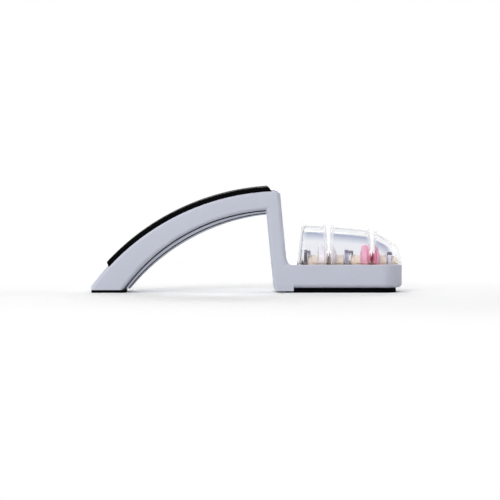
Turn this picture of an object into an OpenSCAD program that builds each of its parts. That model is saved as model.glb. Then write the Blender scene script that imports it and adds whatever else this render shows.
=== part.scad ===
// Two-stage water sharpener for kitchen knives.
// An arched handle and a water trough are one moulding. Two pairs of ceramic wheels turn on
// an axle along the trough, and a clear lid with two knife slots covers them.
// X runs along the sharpener with the heel at the low end, Z is up and the floor is Z = 0.
// Sizes are in millimetres.

/* [Body] */
// Width of the body
body_w = 46; // [42:0.5:52]
// Rounding along the body's long edges
edge_r = 3; // [2:0.25:3.5]
// Wall of the body moulding
wall = 2.4; // [1.8:0.1:2.8]
// From the pillar's front face, at deck height, back to the heel
handle_reach = 141.5; // [132:0.5:150]
// Room from the axle's end cap to the outside of the trough's nose
nose_room = 3.6; // [3.4:0.1:8]
// Height of the deck and of the trough's rim
deck_z = 20.3; // [19.5:0.1:22]

/* [Handle] */
// Height of the handle's back at its highest point
arch_top = 74.6; // [70:0.2:80]
// Distance of that highest point behind the pillar's front face
arch_apex = 3.5; // [1:0.5:6]
// How far the back's arc would run past the heel's upright face
heel_overrun = 2; // [1:0.25:4]
// Depth of the handle at its highest point
arch_depth = 14.6; // [12:0.2:18]
// Distance of the underside's highest point behind the pillar's front face
under_apex = 6.1; // [4:0.5:9]
// Length of the leg where it stands on its foot
heel_length = 23.2; // [20:0.2:26]
// Lean of the pillar from upright
pillar_lean = 5.35; // [3:0.05:7]
// Thickness of the pillar
pillar_t = 11.2; // [10:0.2:13]
// Inset of the pillar's sides from the body's
pillar_inset = 0.1; // [0.05:0.05:0.4]
// Rounding of the pillar's top corner
shoulder_r = 5; // [4:0.25:7]
// Rounding of the pillar's bottom corner
toe_r = 4; // [3.75:0.25:5]
// Hollow rounding between the pillar and the deck
fillet_r = 5; // [4:0.25:6]
// Height of the toe's underside above the floor
toe_z = 1.2; // [0.8:0.1:2]
// Length of the toe ahead of the pillar's front face
toe_reach = 5; // [3:0.25:7]

/* [Handle liner] */
// How far the liner stands proud of the body's edge
liner_proud = 3.7; // [3:0.1:4.5]
// How far its upper step stands proud
liner_step = 2.4; // [1.8:0.1:2.8]
// Side gap between the liner's walls and the body
liner_gap = 0.3; // [0.2:0.05:0.6]
// Wall of the liner
liner_wall = 1.8; // [1.5:0.1:2.2]
// Height of the liner's end above the floor
liner_end_z = 3; // [2.6:0.1:4]
// Diameter of the screws' heads
screw_head_d = 5.4; // [5:0.1:6]
// Diameter of the screws' shanks
screw_d = 2.8; // [2.4:0.1:3]
// Length of the screws under the head
screw_length = 9; // [7:0.5:10]

/* [Rubber parts] */
// Thickness of the grip
grip_t = 2.4; // [2:0.05:4]
// Width of the grip
grip_w = 38; // [34:0.5:40]
// Rounding along the grip's top edges
grip_edge = 1.3; // [0.8:0.1:1.8]
// Distance of the grip's front end behind the pillar's front face
grip_front = 11.7; // [10:0.1:16]
// Distance of the grip's back end ahead of the heel
grip_back = 12.3; // [10:0.1:20]
// Diameter of the grip's pegs
peg_d = 4; // [3:0.25:5]
// Length of the grip's pegs
peg_length = 3.2; // [2.8:0.1:4]
// Thickness of the heel's foot
foot_t = 2; // [1.5:0.1:3]
// Length of the heel's foot
foot_length = 25.2; // [22:0.2:27]
// Inset of the foot from the body's sides
foot_inset = 0.5; // [0.3:0.1:2]
// Underside of the trough above the floor, which is the base pad's thickness
pad_t = 3.5; // [2.5:0.1:4]
// Distance of the base pad's end behind the trough's nose
pad_back = 4.3; // [4:0.1:8]
// Length of the pad's thin lip under the toe
pad_lip = 5.5; // [3:0.25:7]
// Inset of the base pad from the body's sides
pad_inset = 2.5; // [2:0.1:4]

/* [Trough] */
// Rounding of the trough's nose, seen from above
nose_r = 15; // [12:0.5:17]
// Rounding along the trough's rim
rim_r = 1; // [0.5:0.1:1.2]
// Thickness of the trough's floor
floor_t = 1.8; // [1.4:0.1:2.4]
// Rounding inside the trough along its floor
well_r = 2; // [1:0.25:3]
// From the pillar's front face to the trough's well
well_start = 9.4; // [9:0.1:9.8]

/* [Lid] */
// Inset of the lid's walls from the body's sides
lid_inset = 0.5; // [0.5:0.1:2]
// Wall of the lid
lid_wall = 1.8; // [1.2:0.1:2]
// From the pillar's front face to the lid's back wall
lid_start = 7.6; // [7.4:0.1:8]
// Lean of the lid's back wall
lid_lean = 6; // [3:0.25:8]
// Rounding of the lid's back corners
lid_back_r = 5; // [3:0.25:7]
// Height of the lid's crown above the deck
lid_h = 29.6; // [27.4:0.2:31]
// Radius of the lid's long crown
crown_r = 500; // [420:10:600]
// Rounding of the lid's long shoulders
lid_shoulder = 6.5; // [5:0.25:7.5]
// Radius of the lid's nose, seen from the side
lid_nose_r = 19.2; // [18.5:0.1:20]
// Height of the nose's centre above the deck
lid_nose_rise = 2.5; // [1.5:0.1:3]
// Angle at which the nose runs out into its straight slope
lid_nose_turn = 63; // [62:1:72]
// Height of the flange on the lid's bottom edge
flange_h = 1.6; // [1.2:0.1:2]
// How far the flange stands proud of the lid's walls
flange_out = 0.4; // [0.2:0.1:0.5]
// Height of the slots' floors above the deck
slot_floor = 3.1; // [2.8:0.1:4]
// Width of the slots
slot_gap = 1.9; // [1.6:0.1:2.4]
// Extra width of each slot's mouth
slot_mouth = 1; // [0.6:0.1:1.4]
// Thickness of the slots' guide walls at the bottom
guide_t = 1.15; // [0.9:0.05:1.4]
// Radius of the beads along the slots
bead_r = 1.3; // [1:0.05:1.5]
// How far the lid's tongues reach into the trough
tongue_h = 2; // [1.5:0.1:3]
// Gap between the tongues and the trough's walls
tongue_gap = 0.3; // [0.2:0.05:0.5]

/* [Wheels] */
// Height of the axle above the floor
axle_z = 20.1; // [19.8:0.1:20.8]
// Diameter of the axle
axle_d = 4; // [3:0.25:4.5]
// Diameter of the ceramic wheels
wheel_d = 27.6; // [26:0.2:28]
// From the pillar's front face to the coarse slot
coarse_at = 30.4; // [30:0.1:31]
// Spacing of the two slots
stage_pitch = 31.3; // [31:0.1:32]
// Opening of the V between two wheels at their rims
vee_gap = 3.7; // [3:0.1:4.2]
// Angle of each side of the V
vee_angle = 12; // [11:0.5:15]
// Rim width of the left wheels
thick_rim = 5.3; // [4.5:0.1:5.8]
// Rim width of the right wheels
thin_rim = 2.2; // [1.8:0.1:2.8]
// Diameter of the hubs
hub_d = 13.8; // [12.5:0.2:14.5]
// Diameter of the hubs' sleeves, which carry the wheels
sleeve_d = 9; // [8:0.2:9.8]
// Reach of each hub's back end from its slot
hub_back = 15; // [14.6:0.1:15]
// Reach of each hub's front end from its slot
hub_front = 10.9; // [10.4:0.1:11.2]
// Radial gap of a wheel on its sleeve
wheel_fit = 0.03; // [0.02:0.01:0.08]
// Radial gap of a hub on the axle
running_fit = 0.06; // [0.03:0.01:0.09]

/* [Bearing plates] */
// Thickness of the bearing plates
plate_t = 2.8; // [2.4:0.1:3]
// Width of a plate's foot
plate_w = 22; // [18:0.5:24]
// Width of a plate's upright
plate_top_w = 13; // [11:0.5:15]
// Height of the plates' tops above the axle
plate_rise = 8.2; // [8:0.1:9]
// End gap between a hub and the plate next to it
end_gap = 0.4; // [0.3:0.05:0.6]
// Height of the keepers' roofs
keeper_roof = 1.5; // [1.2:0.1:1.8]
// Gap between a keeper's hook and the hub under it
hook_gap = 0.4; // [0.3:0.05:0.8]
// Height of the pockets in the trough's floor
pocket_h = 3.2; // [2.5:0.1:4]
// Wall of the pockets
pocket_wall = 1.2; // [1:0.1:1.4]
// Diameter of the axle's end cap
cap_d = 12; // [10:0.5:13]

/* [Hidden] */
$fn = 96;

// The body, lengthways, with a trough long enough for the axle
cap_t = 3.3;
axle_run = coarse_at + stage_pitch + hub_front + 3 * end_gap + plate_t + cap_t;
trough_length = axle_run + nose_room;
heel_x = -(handle_reach + trough_length) / 2;
pillar_x = heel_x + handle_reach;
nose_x = pillar_x + trough_length;
half_w = body_w / 2;

// Radius of an arc that falls by rise over run from its highest point
function arc_radius(run, rise) = (run * run + rise * rise) / (2 * rise);
// Angle of a direction in the X and Z plane
function heading(v) = atan2(v[1], v[0]);

// The handle's back, an arc about arch_c
arch_x = pillar_x - arch_apex;
arch_r = arc_radius(arch_x - heel_x + heel_overrun, arch_top - foot_t);
arch_c = [arch_x, arch_top - arch_r];

// The handle's underside, an arc about under_c
under_x = pillar_x - under_apex;
under_top = arch_top - arch_depth;
under_r = arc_radius(under_x - heel_x - heel_length, under_top - foot_t);
under_c = [under_x, under_top - under_r];

// Size of the blocks that cut forms away, and how far rough forms run past their cuts
cut_size = 80;
spare = 15;
// The handle is cut from a band of the back's arc this deep, swept to a turn behind the heel
arch_band = 34;
arch_end = heading([heel_x - spare, -spare] - arch_c);

// The liner's steps, from its locating walls inwards, with the roundings of their edges
liner_step_in = 0.9;
liner_step_r = 0.7;
liner_crown_in = 1.5;
liner_crown_r = 1.4;
liner_wall_h = 4;
// The liner's front end stands off the pillar's back face, this far up it
liner_end_gap = 0.2;
liner_end_rise = 34;

// The liner's screws stand at these turns about the underside's centre, on bosses
screw_turns = [104, 131];
screw_head_h = 1.5;
boss_d = 7;
screw_fit = 0.1;
screw_room = 0.6;
seat_r = under_r + 0.3;

// The grip's pegs stand at these turns about the back's centre
peg_turns = [97, 113, 129];
peg_fit = 0.1;
// Slopes of the grip's ends
grip_front_cut = 45;
grip_back_cut = 25;

// Corner roundings of the heel's foot and of the base pad, which follows the trough's nose
foot_r = 3;
pad_r = 11;
pad_lip_r = 2;
pad_gap = 0.3;

// The pillar's top corner touches its front face and the back's arc from inside
lean_up = [-sin(pillar_lean), cos(pillar_lean)];
lean_out = [cos(pillar_lean), sin(pillar_lean)];
pillar_foot = [pillar_x, deck_z];
corner_from_arc = pillar_foot - shoulder_r * lean_out - arch_c;
corner_run = corner_from_arc * lean_up;
pillar_h = -corner_run + sqrt(corner_run * corner_run - corner_from_arc * corner_from_arc
    + pow(arch_r - shoulder_r, 2));
shoulder_c = pillar_foot - shoulder_r * lean_out + pillar_h * lean_up;
shoulder_turn = heading(shoulder_c - arch_c);
hollow_turn = shoulder_turn + 2.6;

// The pillar's bottom corner touches its back face and the toe's underside
toe_in = toe_r - pillar_t;
pillar_drop = (toe_z + toe_r - deck_z - toe_in * sin(pillar_lean)) / cos(pillar_lean);
toe_c = pillar_foot + toe_in * lean_out + pillar_drop * lean_up;
toe_x = pillar_x + toe_reach;

// The cutters of the pillar's corners are larger than the corners by this much
corner_ease = 0.05;

// The hollow between the pillar and the deck
fillet_rise = fillet_r * (1 - sin(pillar_lean)) / cos(pillar_lean);
fillet_c = pillar_foot + fillet_r * lean_out + fillet_rise * lean_up;

// The trough
well_x = pillar_x + well_start;
well_floor = pad_t + floor_t;

// The axle's stations
coarse_x = pillar_x + coarse_at;
fine_x = coarse_x + stage_pitch;
front_plate_x = coarse_x - hub_back - end_gap - plate_t / 2;
middle_plate_x = coarse_x + hub_front + 2 * end_gap + plate_t / 2;
rear_plate_x = fine_x + hub_front + 2 * end_gap + plate_t / 2;
plate_top = axle_z + plate_rise;
slot_r = axle_d / 2 + running_fit;
axle_back = well_x + 0.4;
ring_back = axle_back + 0.4;
ring_t = 1.2;
ring_wall = 0.8;
cap_edge = 2;
cap_end = 0.9;
cap_x = rear_plate_x + plate_t / 2 + end_gap;
// The upright of a bearing plate starts this far under the axle
waist_drop = 5;
plate_corner = 2;
// The keepers, with the reach of their hooks from the plates' faces
keeper_w = 9;
keeper_corner = 0.6;
keeper_fit = 0.05;
hook_t = 1.3;
hub_room = fine_x - hub_back - middle_plate_x - plate_t / 2;
front_hooks = [[end_gap + 0.2, end_gap + 2]];
middle_hooks = [[0.6, 1.4], [hub_room + 0.3, hub_room + 0.3 + hook_t]];

// The lid
lid_x = pillar_x + lid_start;
// The crown's highest point is this far behind the lid's back wall
crown_back = 13.1;
lid_half = half_w - lid_inset;
lid_nose_c = [nose_x - flange_out - lid_nose_r, deck_z + lid_nose_rise];
crown_x = lid_x - crown_back;
crown_c = [crown_x, deck_z + lid_h - crown_r];
tongue_t = 1.1;
// The lid is hollowed round the wheels, with this gap and this far behind and ahead of the slots
wheel_gap = 1.1;
clear_reach = 13;
// The cutters of the lid's shoulders are larger than the shoulders by this much, and the one
// round the nose stands back from the nose
shoulder_ease = 0.1;
nose_set = [1.3, 0.1];
nose_grow = 1.6;
// How far the lid's plan corners run past its walls
plan_grow = 0.5;
// The guide walls flare over this height above the wheels, by the first amount and then the second
flare_h = 9;
flare = [0.3, 1.3, 1.8];
// The rounding of a bead over the shoulder is smaller than the shoulder's, and the beads' uprights
// stand out of the walls
bead_in = 0.7;
bead_out = 0.5;

// The wheels, measured along the axle from their slot
wheel_r = wheel_d / 2;
wheel_bore = sleeve_d / 2 + wheel_fit;
wheel_chamfer = 0.3;
vee_root = 0.05;
vee_root_r = wheel_r - (vee_gap / 2 - vee_root) / tan(vee_angle);
left_slope = 1.15;
right_slope = 1.95;
left_back = vee_gap / 2 + thick_rim + left_slope;
right_back = vee_gap / 2 + thin_rim + right_slope;
journal_r = hub_d / 2 - 0.7;
journal_l = 2.4;
hub_edge = 0.5;
cap_floor = 1.8;
sleeve_end = hub_front - cap_floor;
coarse_tint = [0.95, 0.93, 0.9];
fine_tint = [0.93, 0.6, 0.7];

// Height of the lid's crown at a place along the sharpener
function crown_z(x) = crown_c[1] + sqrt(pow(crown_r, 2) - pow(x - crown_x, 2));
// Height of the straight slope behind the lid's nose
function slope_z(x) = lid_nose_c[1]
    + (lid_nose_r - (x - lid_nose_c[0]) * cos(lid_nose_turn)) / sin(lid_nose_turn);
function lid_z(x) = min(crown_z(x), slope_z(x));

// A rectangle between two corners, with a rounding for each corner, anticlockwise from the lowest
module soft_rect(lo, hi, r) {
    difference() {
        translate(lo) square(hi - lo);
        corner_cut(lo, [1, 1], r[0]);
        corner_cut([hi[0], lo[1]], [-1, 1], r[1]);
        corner_cut(hi, [-1, -1], r[2]);
        corner_cut([lo[0], hi[1]], [1, -1], r[3]);
    }
}

// What a rounding takes off a corner whose sides run in the directions of dir
module corner_cut(at, dir, r) {
    if (r > 0)
        difference() {
            translate(at + r / 2 * dir) square(r + 0.001, center = true);
            translate(at + r * dir) circle(r);
        }
}

// A section in radius and width, swept about a line across the body
module swing(c, from, to) {
    translate([c[0], 0, c[1]]) rotate([90, 0, 0]) rotate([0, 0, from])
        rotate_extrude(angle = to - from) children();
}

// A section in width and height, run along the body
module run_x(from, to) {
    translate([from, 0, 0]) rotate([90, 0, 90]) linear_extrude(to - from) children();
}

// A side outline, made as wide as w
module across(w) {
    rotate([90, 0, 0]) linear_extrude(w, center = true) children();
}

// Something that stands on a radius of an arc, at its turn about the arc's centre
module on_radius(c, turn, r) {
    translate([c[0], 0, c[1]]) rotate([0, 90 - turn, 0]) translate([0, 0, r]) children();
}

// Something turned about the axle's line
module on_axle(x) {
    translate([x, 0, axle_z]) rotate([0, 90, 0]) children();
}

// A tub form with a square back end and a nose that is rounded from above
module tub(x0, x1, w, z0, z1, nose, low_r, top_r) {
    h = w / 2;
    section = [0, low_r, top_r, 0];
    run_x(x0, x1 - nose) soft_rect([-h, z0], [h, z1], [low_r, low_r, top_r, top_r]);
    across(w - 2 * nose) soft_rect([x1 - nose - 0.01, z0], [x1, z1], section);
    for (side = [-1, 1])
        translate([x1 - nose, side * (h - nose), 0]) rotate([0, 0, side < 0 ? -90 : 0])
            rotate_extrude(angle = 90) soft_rect([0, z0], [nose, z1], section);
}

// The body moulding

// The handle's arch, with its long edges rounded
module arch_form() {
    difference() {
        swing(arch_c, shoulder_turn, arch_end)
            soft_rect([arch_r - arch_band, -half_w], [arch_r, half_w], [0, edge_r, edge_r, 0]);
        swing(under_c, 60, 180) under_section();
        translate([heel_x - cut_size, -body_w, foot_t - cut_size])
            cube([2 * cut_size, 2 * body_w, cut_size]);
        translate([heel_x - cut_size, -body_w, -1]) cube([cut_size, 2 * body_w, cut_size]);
    }
}

// What lies below the handle's underside, with the roundings of its lower edges
module under_section() {
    translate([under_r - cut_size, -body_w]) square([cut_size, 2 * body_w]);
    for (side = [-1, 1])
        difference() {
            translate([under_r + edge_r / 2 - 0.5, side * (half_w + 0.5 - edge_r / 2)])
                square([edge_r + 1, edge_r + 1], center = true);
            translate([under_r + edge_r, side * (half_w - edge_r)]) circle(edge_r);
        }
}

module pillar_form() {
    side = half_w - pillar_inset;
    back = -2 * toe_r * lean_out;
    down = [0, -2 * toe_r];
    ahead = 2 * pillar_t * lean_out;
    above = 3 * shoulder_r * lean_up;
    difference() {
        translate([pillar_x, 0, deck_z]) rotate([0, -pillar_lean, 0])
            translate([-pillar_t, 0, -deck_z - spare]) linear_extrude(pillar_h + deck_z + 2 * spare)
                soft_rect([0, -side], [pillar_t, side], edge_r * [1, 1, 1, 1]);
        translate([pillar_x - cut_size, -body_w, toe_z - cut_size])
            cube([2 * cut_size, 2 * body_w, cut_size]);
        across(2 * body_w) difference() {
            translate(toe_c) polygon([[0, 0], back, back + down, down]);
            translate(toe_c) circle(toe_r + corner_ease);
        }
        across(2 * body_w) difference() {
            translate(shoulder_c) polygon([-ahead, ahead, ahead + above, above - ahead]);
            translate(shoulder_c) circle(shoulder_r + corner_ease);
        }
        swing(shoulder_c, pillar_lean - 8, 170) shoulder_cut(shoulder_r, side, edge_r);
    }
    translate([toe_c[0], -half_w, toe_z]) cube([toe_x - toe_c[0], body_w, deck_z - rim_r - toe_z]);
    swing(fillet_c, 180 + pillar_lean, 270)
        soft_rect([fillet_r, -half_w], [fillet_r + wall, half_w], [edge_r, 0, 0, edge_r]);
}

module trough_form() {
    tub(pillar_x - pillar_t / 2, nose_x, body_w, pad_t, deck_z, nose_r, edge_r, rim_r);
}

// The hollow of the handle, open from below
module handle_hollow() {
    intersection() {
        swing(arch_c, hollow_turn, arch_end)
            translate([arch_r - arch_band, wall - half_w]) square([arch_band - wall, body_w - 2 * wall]);
        translate([heel_x + wall, -body_w, foot_t + wall])
            cube([2 * cut_size, 2 * body_w, 2 * cut_size]);
    }
}

// Cores that keep the pillar's and the deck's walls even, open from below
module pillar_cores() {
    hollow_w = body_w - 2 * wall;
    translate([pillar_x, 0, deck_z]) rotate([0, -pillar_lean, 0])
        translate([wall - pillar_t, -hollow_w / 2, -deck_z - spare])
            cube([pillar_t - 2 * wall, hollow_w, pillar_h + deck_z + spare - wall]);
    translate([pillar_x + wall, -hollow_w / 2, -1])
        cube([well_start - 2 * wall, hollow_w, deck_z - wall + 1]);
}

module well_form() {
    tub(well_x, nose_x - wall, body_w - 2 * wall, well_floor, deck_z + 5, nose_r - wall, well_r, 0);
}

// A pocket on the trough's floor that holds a bearing plate's foot
module plate_pocket(x) {
    outer = [plate_t + 2 * pocket_wall, plate_w + 2 * pocket_wall];
    translate([x, 0, well_floor - 0.5]) linear_extrude(pocket_h + 0.5) difference() {
        square(outer, center = true);
        square([plate_t, plate_w], center = true);
    }
}

module screw_boss(turn) {
    rise = arch_r - wall - seat_r;
    intersection() {
        on_radius(under_c, turn, seat_r) cylinder(d = boss_d, h = rise + spare);
        swing(arch_c, shoulder_turn, arch_end)
            translate([arch_r - arch_band, -half_w]) square([arch_band - wall / 2, body_w]);
    }
}

module body_shell() {
    color([0.75, 0.76, 0.82]) difference() {
        union() {
            difference() {
                union() {
                    arch_form();
                    pillar_form();
                    trough_form();
                }
                handle_hollow();
                pillar_cores();
                well_form();
            }
            for (turn = screw_turns)
                screw_boss(turn);
            for (x = [front_plate_x, middle_plate_x, rear_plate_x])
                plate_pocket(x);
        }
        for (turn = screw_turns)
            on_radius(under_c, turn, seat_r - 1) cylinder(d = screw_d + screw_fit, h = screw_length);
        for (turn = peg_turns)
            on_radius(arch_c, turn, arch_r - wall - 1) cylinder(d = peg_d + peg_fit, h = wall + 2);
    }
}

// The handle's liner

// The liner's section: a stepped plate with walls that locate it inside the handle
module liner_section() {
    wall_half = half_w - wall - liner_gap;
    step_half = wall_half - liner_step_in;
    crown_half = step_half - liner_crown_in;
    crown_low = under_r - liner_proud;
    step_low = under_r - liner_step;
    inner_half = crown_half - liner_wall;
    difference() {
        union() {
            soft_rect([crown_low, -crown_half], [under_r - 0.1, crown_half], liner_crown_r * [1, 0, 0, 1]);
            soft_rect([step_low, -step_half], [under_r - 0.1, step_half], liner_step_r * [1, 0, 0, 1]);
            translate([under_r - 0.6, -wall_half]) square([liner_wall_h + 0.6, 2 * wall_half]);
        }
        translate([crown_low + liner_wall, -inner_half]) square([spare, 2 * inner_half]);
        translate([under_r, liner_wall - wall_half]) square([spare, 2 * (wall_half - liner_wall)]);
    }
}

module handle_liner() {
    back_end = heading([heel_x + heel_length + 4, liner_end_z] - under_c);
    front_end = heading(pillar_foot - (pillar_t + liner_end_gap) * lean_out
        + liner_end_rise * lean_up - under_c);
    pad_h = seat_r - under_r + liner_proud - 0.5;
    color([0.68, 0.69, 0.76]) difference() {
        union() {
            swing(under_c, front_end, back_end + 6) liner_section();
            for (turn = screw_turns)
                on_radius(under_c, turn, seat_r - pad_h) cylinder(d = boss_d + 2, h = pad_h);
        }
        // The plate ends above the foot, and its walls stop short of the pillar and the leg's floor
        translate([heel_x, -body_w, liner_end_z - cut_size]) cube([cut_size, 2 * body_w, cut_size]);
        swing(under_c, front_end - 1, front_end + 1.5)
            translate([under_r - 0.1, -body_w]) square([spare, 2 * body_w]);
        intersection() {
            swing(under_c, 110, 170) translate([under_r - 0.1, -body_w]) square([spare, 2 * body_w]);
            translate([heel_x, -body_w, -spare])
                cube([cut_size, 2 * body_w, foot_t + wall + liner_gap + spare]);
        }
        for (turn = screw_turns) {
            on_radius(under_c, turn, under_r - spare) cylinder(d = screw_d + screw_room, h = 2 * spare);
            on_radius(under_c, turn, under_r - spare)
                cylinder(d = screw_head_d + screw_room, h = spare - liner_proud + liner_wall);
        }
    }
}

module liner_screws() {
    cross = [3.2, 0.6, 2 * screw_head_h - 1.2];
    color([0.6, 0.6, 0.62])
        for (turn = screw_turns)
            on_radius(under_c, turn, under_r - liner_proud + liner_wall) {
                difference() {
                    translate([0, 0, -screw_head_h]) cylinder(d = screw_head_d, h = screw_head_h);
                    for (a = [0, 90])
                        rotate([0, 0, a]) translate([0, 0, -screw_head_h]) cube(cross, center = true);
                }
                cylinder(d = screw_d, h = screw_length - liner_wall);
            }
}

// Rubber parts

module grip_pad() {
    back_x = heel_x + grip_back;
    front = heading([pillar_x - grip_front, arch_top] - arch_c);
    back = 180 - asin(sqrt(1 - pow((back_x - arch_x) / arch_r, 2)));
    h = grip_w / 2;
    color([0.07, 0.07, 0.075]) union() {
        difference() {
            swing(arch_c, front, back)
                soft_rect([arch_r, -h], [arch_r + grip_t, h], [0, grip_edge, grip_edge, 0]);
            on_radius(arch_c, front, arch_r) rotate([0, -grip_front_cut, 0])
                translate([0, -h - 1, -5]) cube([spare, grip_w + 2, spare]);
            on_radius(arch_c, back, arch_r) rotate([0, grip_back_cut, 0])
                translate([-spare, -h - 1, -5]) cube([spare, grip_w + 2, spare]);
        }
        for (turn = peg_turns)
            on_radius(arch_c, turn, arch_r - peg_length) cylinder(d = peg_d, h = peg_length + 0.5);
    }
}

module heel_foot() {
    half = half_w - foot_inset;
    color([0.07, 0.07, 0.075]) linear_extrude(foot_t)
        soft_rect([heel_x + 0.1, -half], [heel_x + foot_length, half], foot_r * [1, 1, 1, 1]);
}

module base_pad() {
    half = half_w - pad_inset;
    color([0.07, 0.07, 0.075]) union() {
        linear_extrude(pad_t)
            soft_rect([toe_x + pad_gap, -half], [nose_x - pad_back, half], pad_r * [0, 1, 1, 0]);
        linear_extrude(toe_z)
            soft_rect([toe_x - pad_lip, -half], [toe_x + 1, half], pad_lip_r * [1, 0, 0, 1]);
    }
}

// The lid

// The lid's side outline, grown by g: a long crown, a straight slope and a round nose
module lid_side(g) {
    nose = lid_nose_r + g;
    front = lid_nose_c[0] + nose;
    touch = lid_nose_c + nose * [cos(lid_nose_turn), sin(lid_nose_turn)];
    far = touch + cut_size * [-sin(lid_nose_turn), cos(lid_nose_turn)];
    intersection() {
        translate(crown_c) circle(crown_r + g, $fn = 256);
        union() {
            translate(lid_nose_c) circle(nose);
            polygon([[front, 0], [front, lid_nose_c[1]], lid_nose_c, touch, far,
                [lid_x - spare, far[1]], [lid_x - spare, 0]]);
        }
    }
}

// What a long shoulder's rounding takes off, as a section in radius and width. It meets both
// faces at a slight angle.
module shoulder_cut(r, half, round) {
    for (side = [0, 1])
        mirror([0, side]) translate([r - round, half - round]) difference() {
            square(round + 3);
            circle(round + shoulder_ease);
        }
}

// The lid's outer form, grown by g all round and carried on down through the trough
module lid_form(g) {
    half = lid_half + g;
    side = half + plan_grow;
    front = lid_nose_c[0] + lid_nose_r + g;
    round = lid_shoulder + g;
    difference() {
        intersection() {
            across(2 * half) lid_side(g);
            linear_extrude(cut_size)
                soft_rect([lid_x - spare, -side], [front + 0.01, side],
                    (nose_r + g + plan_grow) * [0, 1, 1, 0]);
            translate([lid_x, 0, deck_z]) rotate([0, lid_lean, 0]) translate([-g, 0, -deck_z - spare])
                linear_extrude(cut_size)
                    soft_rect([0, -side], [2 * cut_size, side], (lid_back_r + plan_grow) * [1, 0, 0, 1]);
        }
        swing(crown_c, 78, 94, $fn = 256) shoulder_cut(crown_r + g, half, round);
        swing(lid_nose_c - nose_set, -40, 84) shoulder_cut(lid_nose_r + nose_grow + g, half, round);
    }
}

// A slot's opening, wider at its mouth on the side of the handle
module slot_outline(x) {
    a = slot_gap / 2;
    low = deck_z + slot_floor;
    mid = axle_z + wheel_r;
    top = deck_z + lid_h + spare;
    translate([x, 0]) polygon([[-a, low], [a, low], [a, mid], [a + 0.1, top],
        [-a - slot_mouth, top], [-a - slot_mouth * 0.8, mid + flare_h], [-a, mid]]);
}

// The walls on both sides of a slot, which thicken towards its mouth, and the floor between them
module guide_outline(x) {
    a = slot_gap / 2 + guide_t;
    low = deck_z + slot_floor - guide_t;
    mid = axle_z + wheel_r;
    top = deck_z + lid_h + spare;
    b = -a - slot_mouth;
    translate([x, 0]) polygon([[-a, low], [a, low], [a + flare[0], mid], [a + flare[1], mid + flare_h],
        [a + flare[2], top], [b - flare[2], top], [b - flare[1] + flare[0], mid + flare_h],
        [-a - flare[0], mid]]);
}

// A bead over the lid beside a slot
module bead(x) {
    half = lid_half + bead_out - bead_r;
    top = lid_z(x) + 0.1;
    turn_r = lid_shoulder - bead_in;
    low = deck_z + flange_h;
    translate([x, 0, 0]) {
        translate([0, 0, top]) rotate([90, 0, 0])
            cylinder(r = bead_r, h = 2 * (half - turn_r), center = true);
        for (side = [-1, 1]) {
            translate([0, side * half, low]) cylinder(r = bead_r, h = top - turn_r - low);
            translate([0, side * (half - turn_r), top - turn_r]) rotate([0, 90, 0])
                rotate([0, 0, side > 0 ? 90 : 180])
                rotate_extrude(angle = 90) translate([turn_r, 0]) circle(bead_r);
        }
    }
}

module lid() {
    slots = [coarse_x, fine_x];
    back_bead = slot_gap / 2 + slot_mouth + bead_r;
    front_bead = slot_gap / 2 + bead_r;
    tongue_x = coarse_x - 12;
    tongue_l = stage_pitch + 14;
    tongue_y = half_w - wall - tongue_gap;
    tongue_ledge = lid_half - lid_wall / 3 - tongue_y;
    flange_y = lid_half + flange_out;
    color([0.85, 0.9, 0.95, 0.4]) difference() {
        union() {
            difference() {
                union() {
                    lid_form(0);
                    translate([0, 0, deck_z]) linear_extrude(flange_h)
                        soft_rect([lid_x - flange_out, -flange_y], [nose_x, flange_y],
                            [lid_back_r, nose_r, nose_r, lid_back_r]);
                }
                lid_form(-lid_wall);
                translate([0, -body_w, deck_z - cut_size]) cube([2 * cut_size, 2 * body_w, cut_size]);
            }
            intersection() {
                lid_form(-lid_wall / 2);
                across(body_w) {
                    guide_outline(coarse_x);
                    guide_outline(fine_x);
                }
            }
            for (x = slots) {
                bead(x - back_bead);
                bead(x + front_bead);
            }
            for (side = [-1, 1]) {
                translate([tongue_x, side * (tongue_y - tongue_t / 2) - tongue_t / 2, deck_z - tongue_h])
                    cube([tongue_l, tongue_t, tongue_h + flange_h]);
                translate([tongue_x, side * (tongue_y + tongue_ledge - 1) - 1, deck_z])
                    cube([tongue_l, 2, flange_h]);
            }
        }
        across(body_w + 10) {
            slot_outline(coarse_x);
            slot_outline(fine_x);
        }
        translate([coarse_x - clear_reach, 0, axle_z]) rotate([0, 90, 0])
            cylinder(r = wheel_r + wheel_gap, h = stage_pitch + 2 * clear_reach);
    }
}

// Bearing plates and keepers

module bearing_plate(x, top) {
    foot = plate_w / 2;
    half = plate_top_w / 2;
    low = well_floor;
    waist = axle_z - waist_drop;
    color([0.55, 0.54, 0.6]) run_x(x - plate_t / 2, x + plate_t / 2) difference() {
        union() {
            polygon([[-foot, low], [foot, low], [foot, low + pocket_h], [half, waist],
                [-half, waist], [-foot, low + pocket_h]]);
            soft_rect([-half, waist - 1], [half, top], plate_corner * [0, 0, 1, 1]);
        }
        translate([0, axle_z]) circle(slot_r);
        translate([-slot_r, axle_z]) square([2 * slot_r, top]);
    }
}

// A keeper's roof lies on a plate's top, its tongue fills the axle's slot and its hooks reach
// over the end of the hub beside it
module axle_keeper(x, top, back, front, hooks) {
    half = keeper_w / 2;
    tongue_half = slot_r - keeper_fit;
    hook_z = axle_z + journal_r + hook_gap;
    color([0.5, 0.5, 0.56]) union() {
        run_x(x - plate_t / 2 - back, x + plate_t / 2 + front)
            soft_rect([-half, top], [half, top + keeper_roof], keeper_corner * [0, 0, 1, 1]);
        run_x(x - plate_t / 2, x + plate_t / 2)
            translate([-tongue_half, axle_z + slot_r]) square([2 * tongue_half, top - axle_z]);
        for (hook = hooks)
            run_x(x + plate_t / 2 + hook[0], x + plate_t / 2 + hook[1])
                translate([-half, hook_z]) square([keeper_w, top + keeper_roof / 2 - hook_z]);
    }
}

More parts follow.
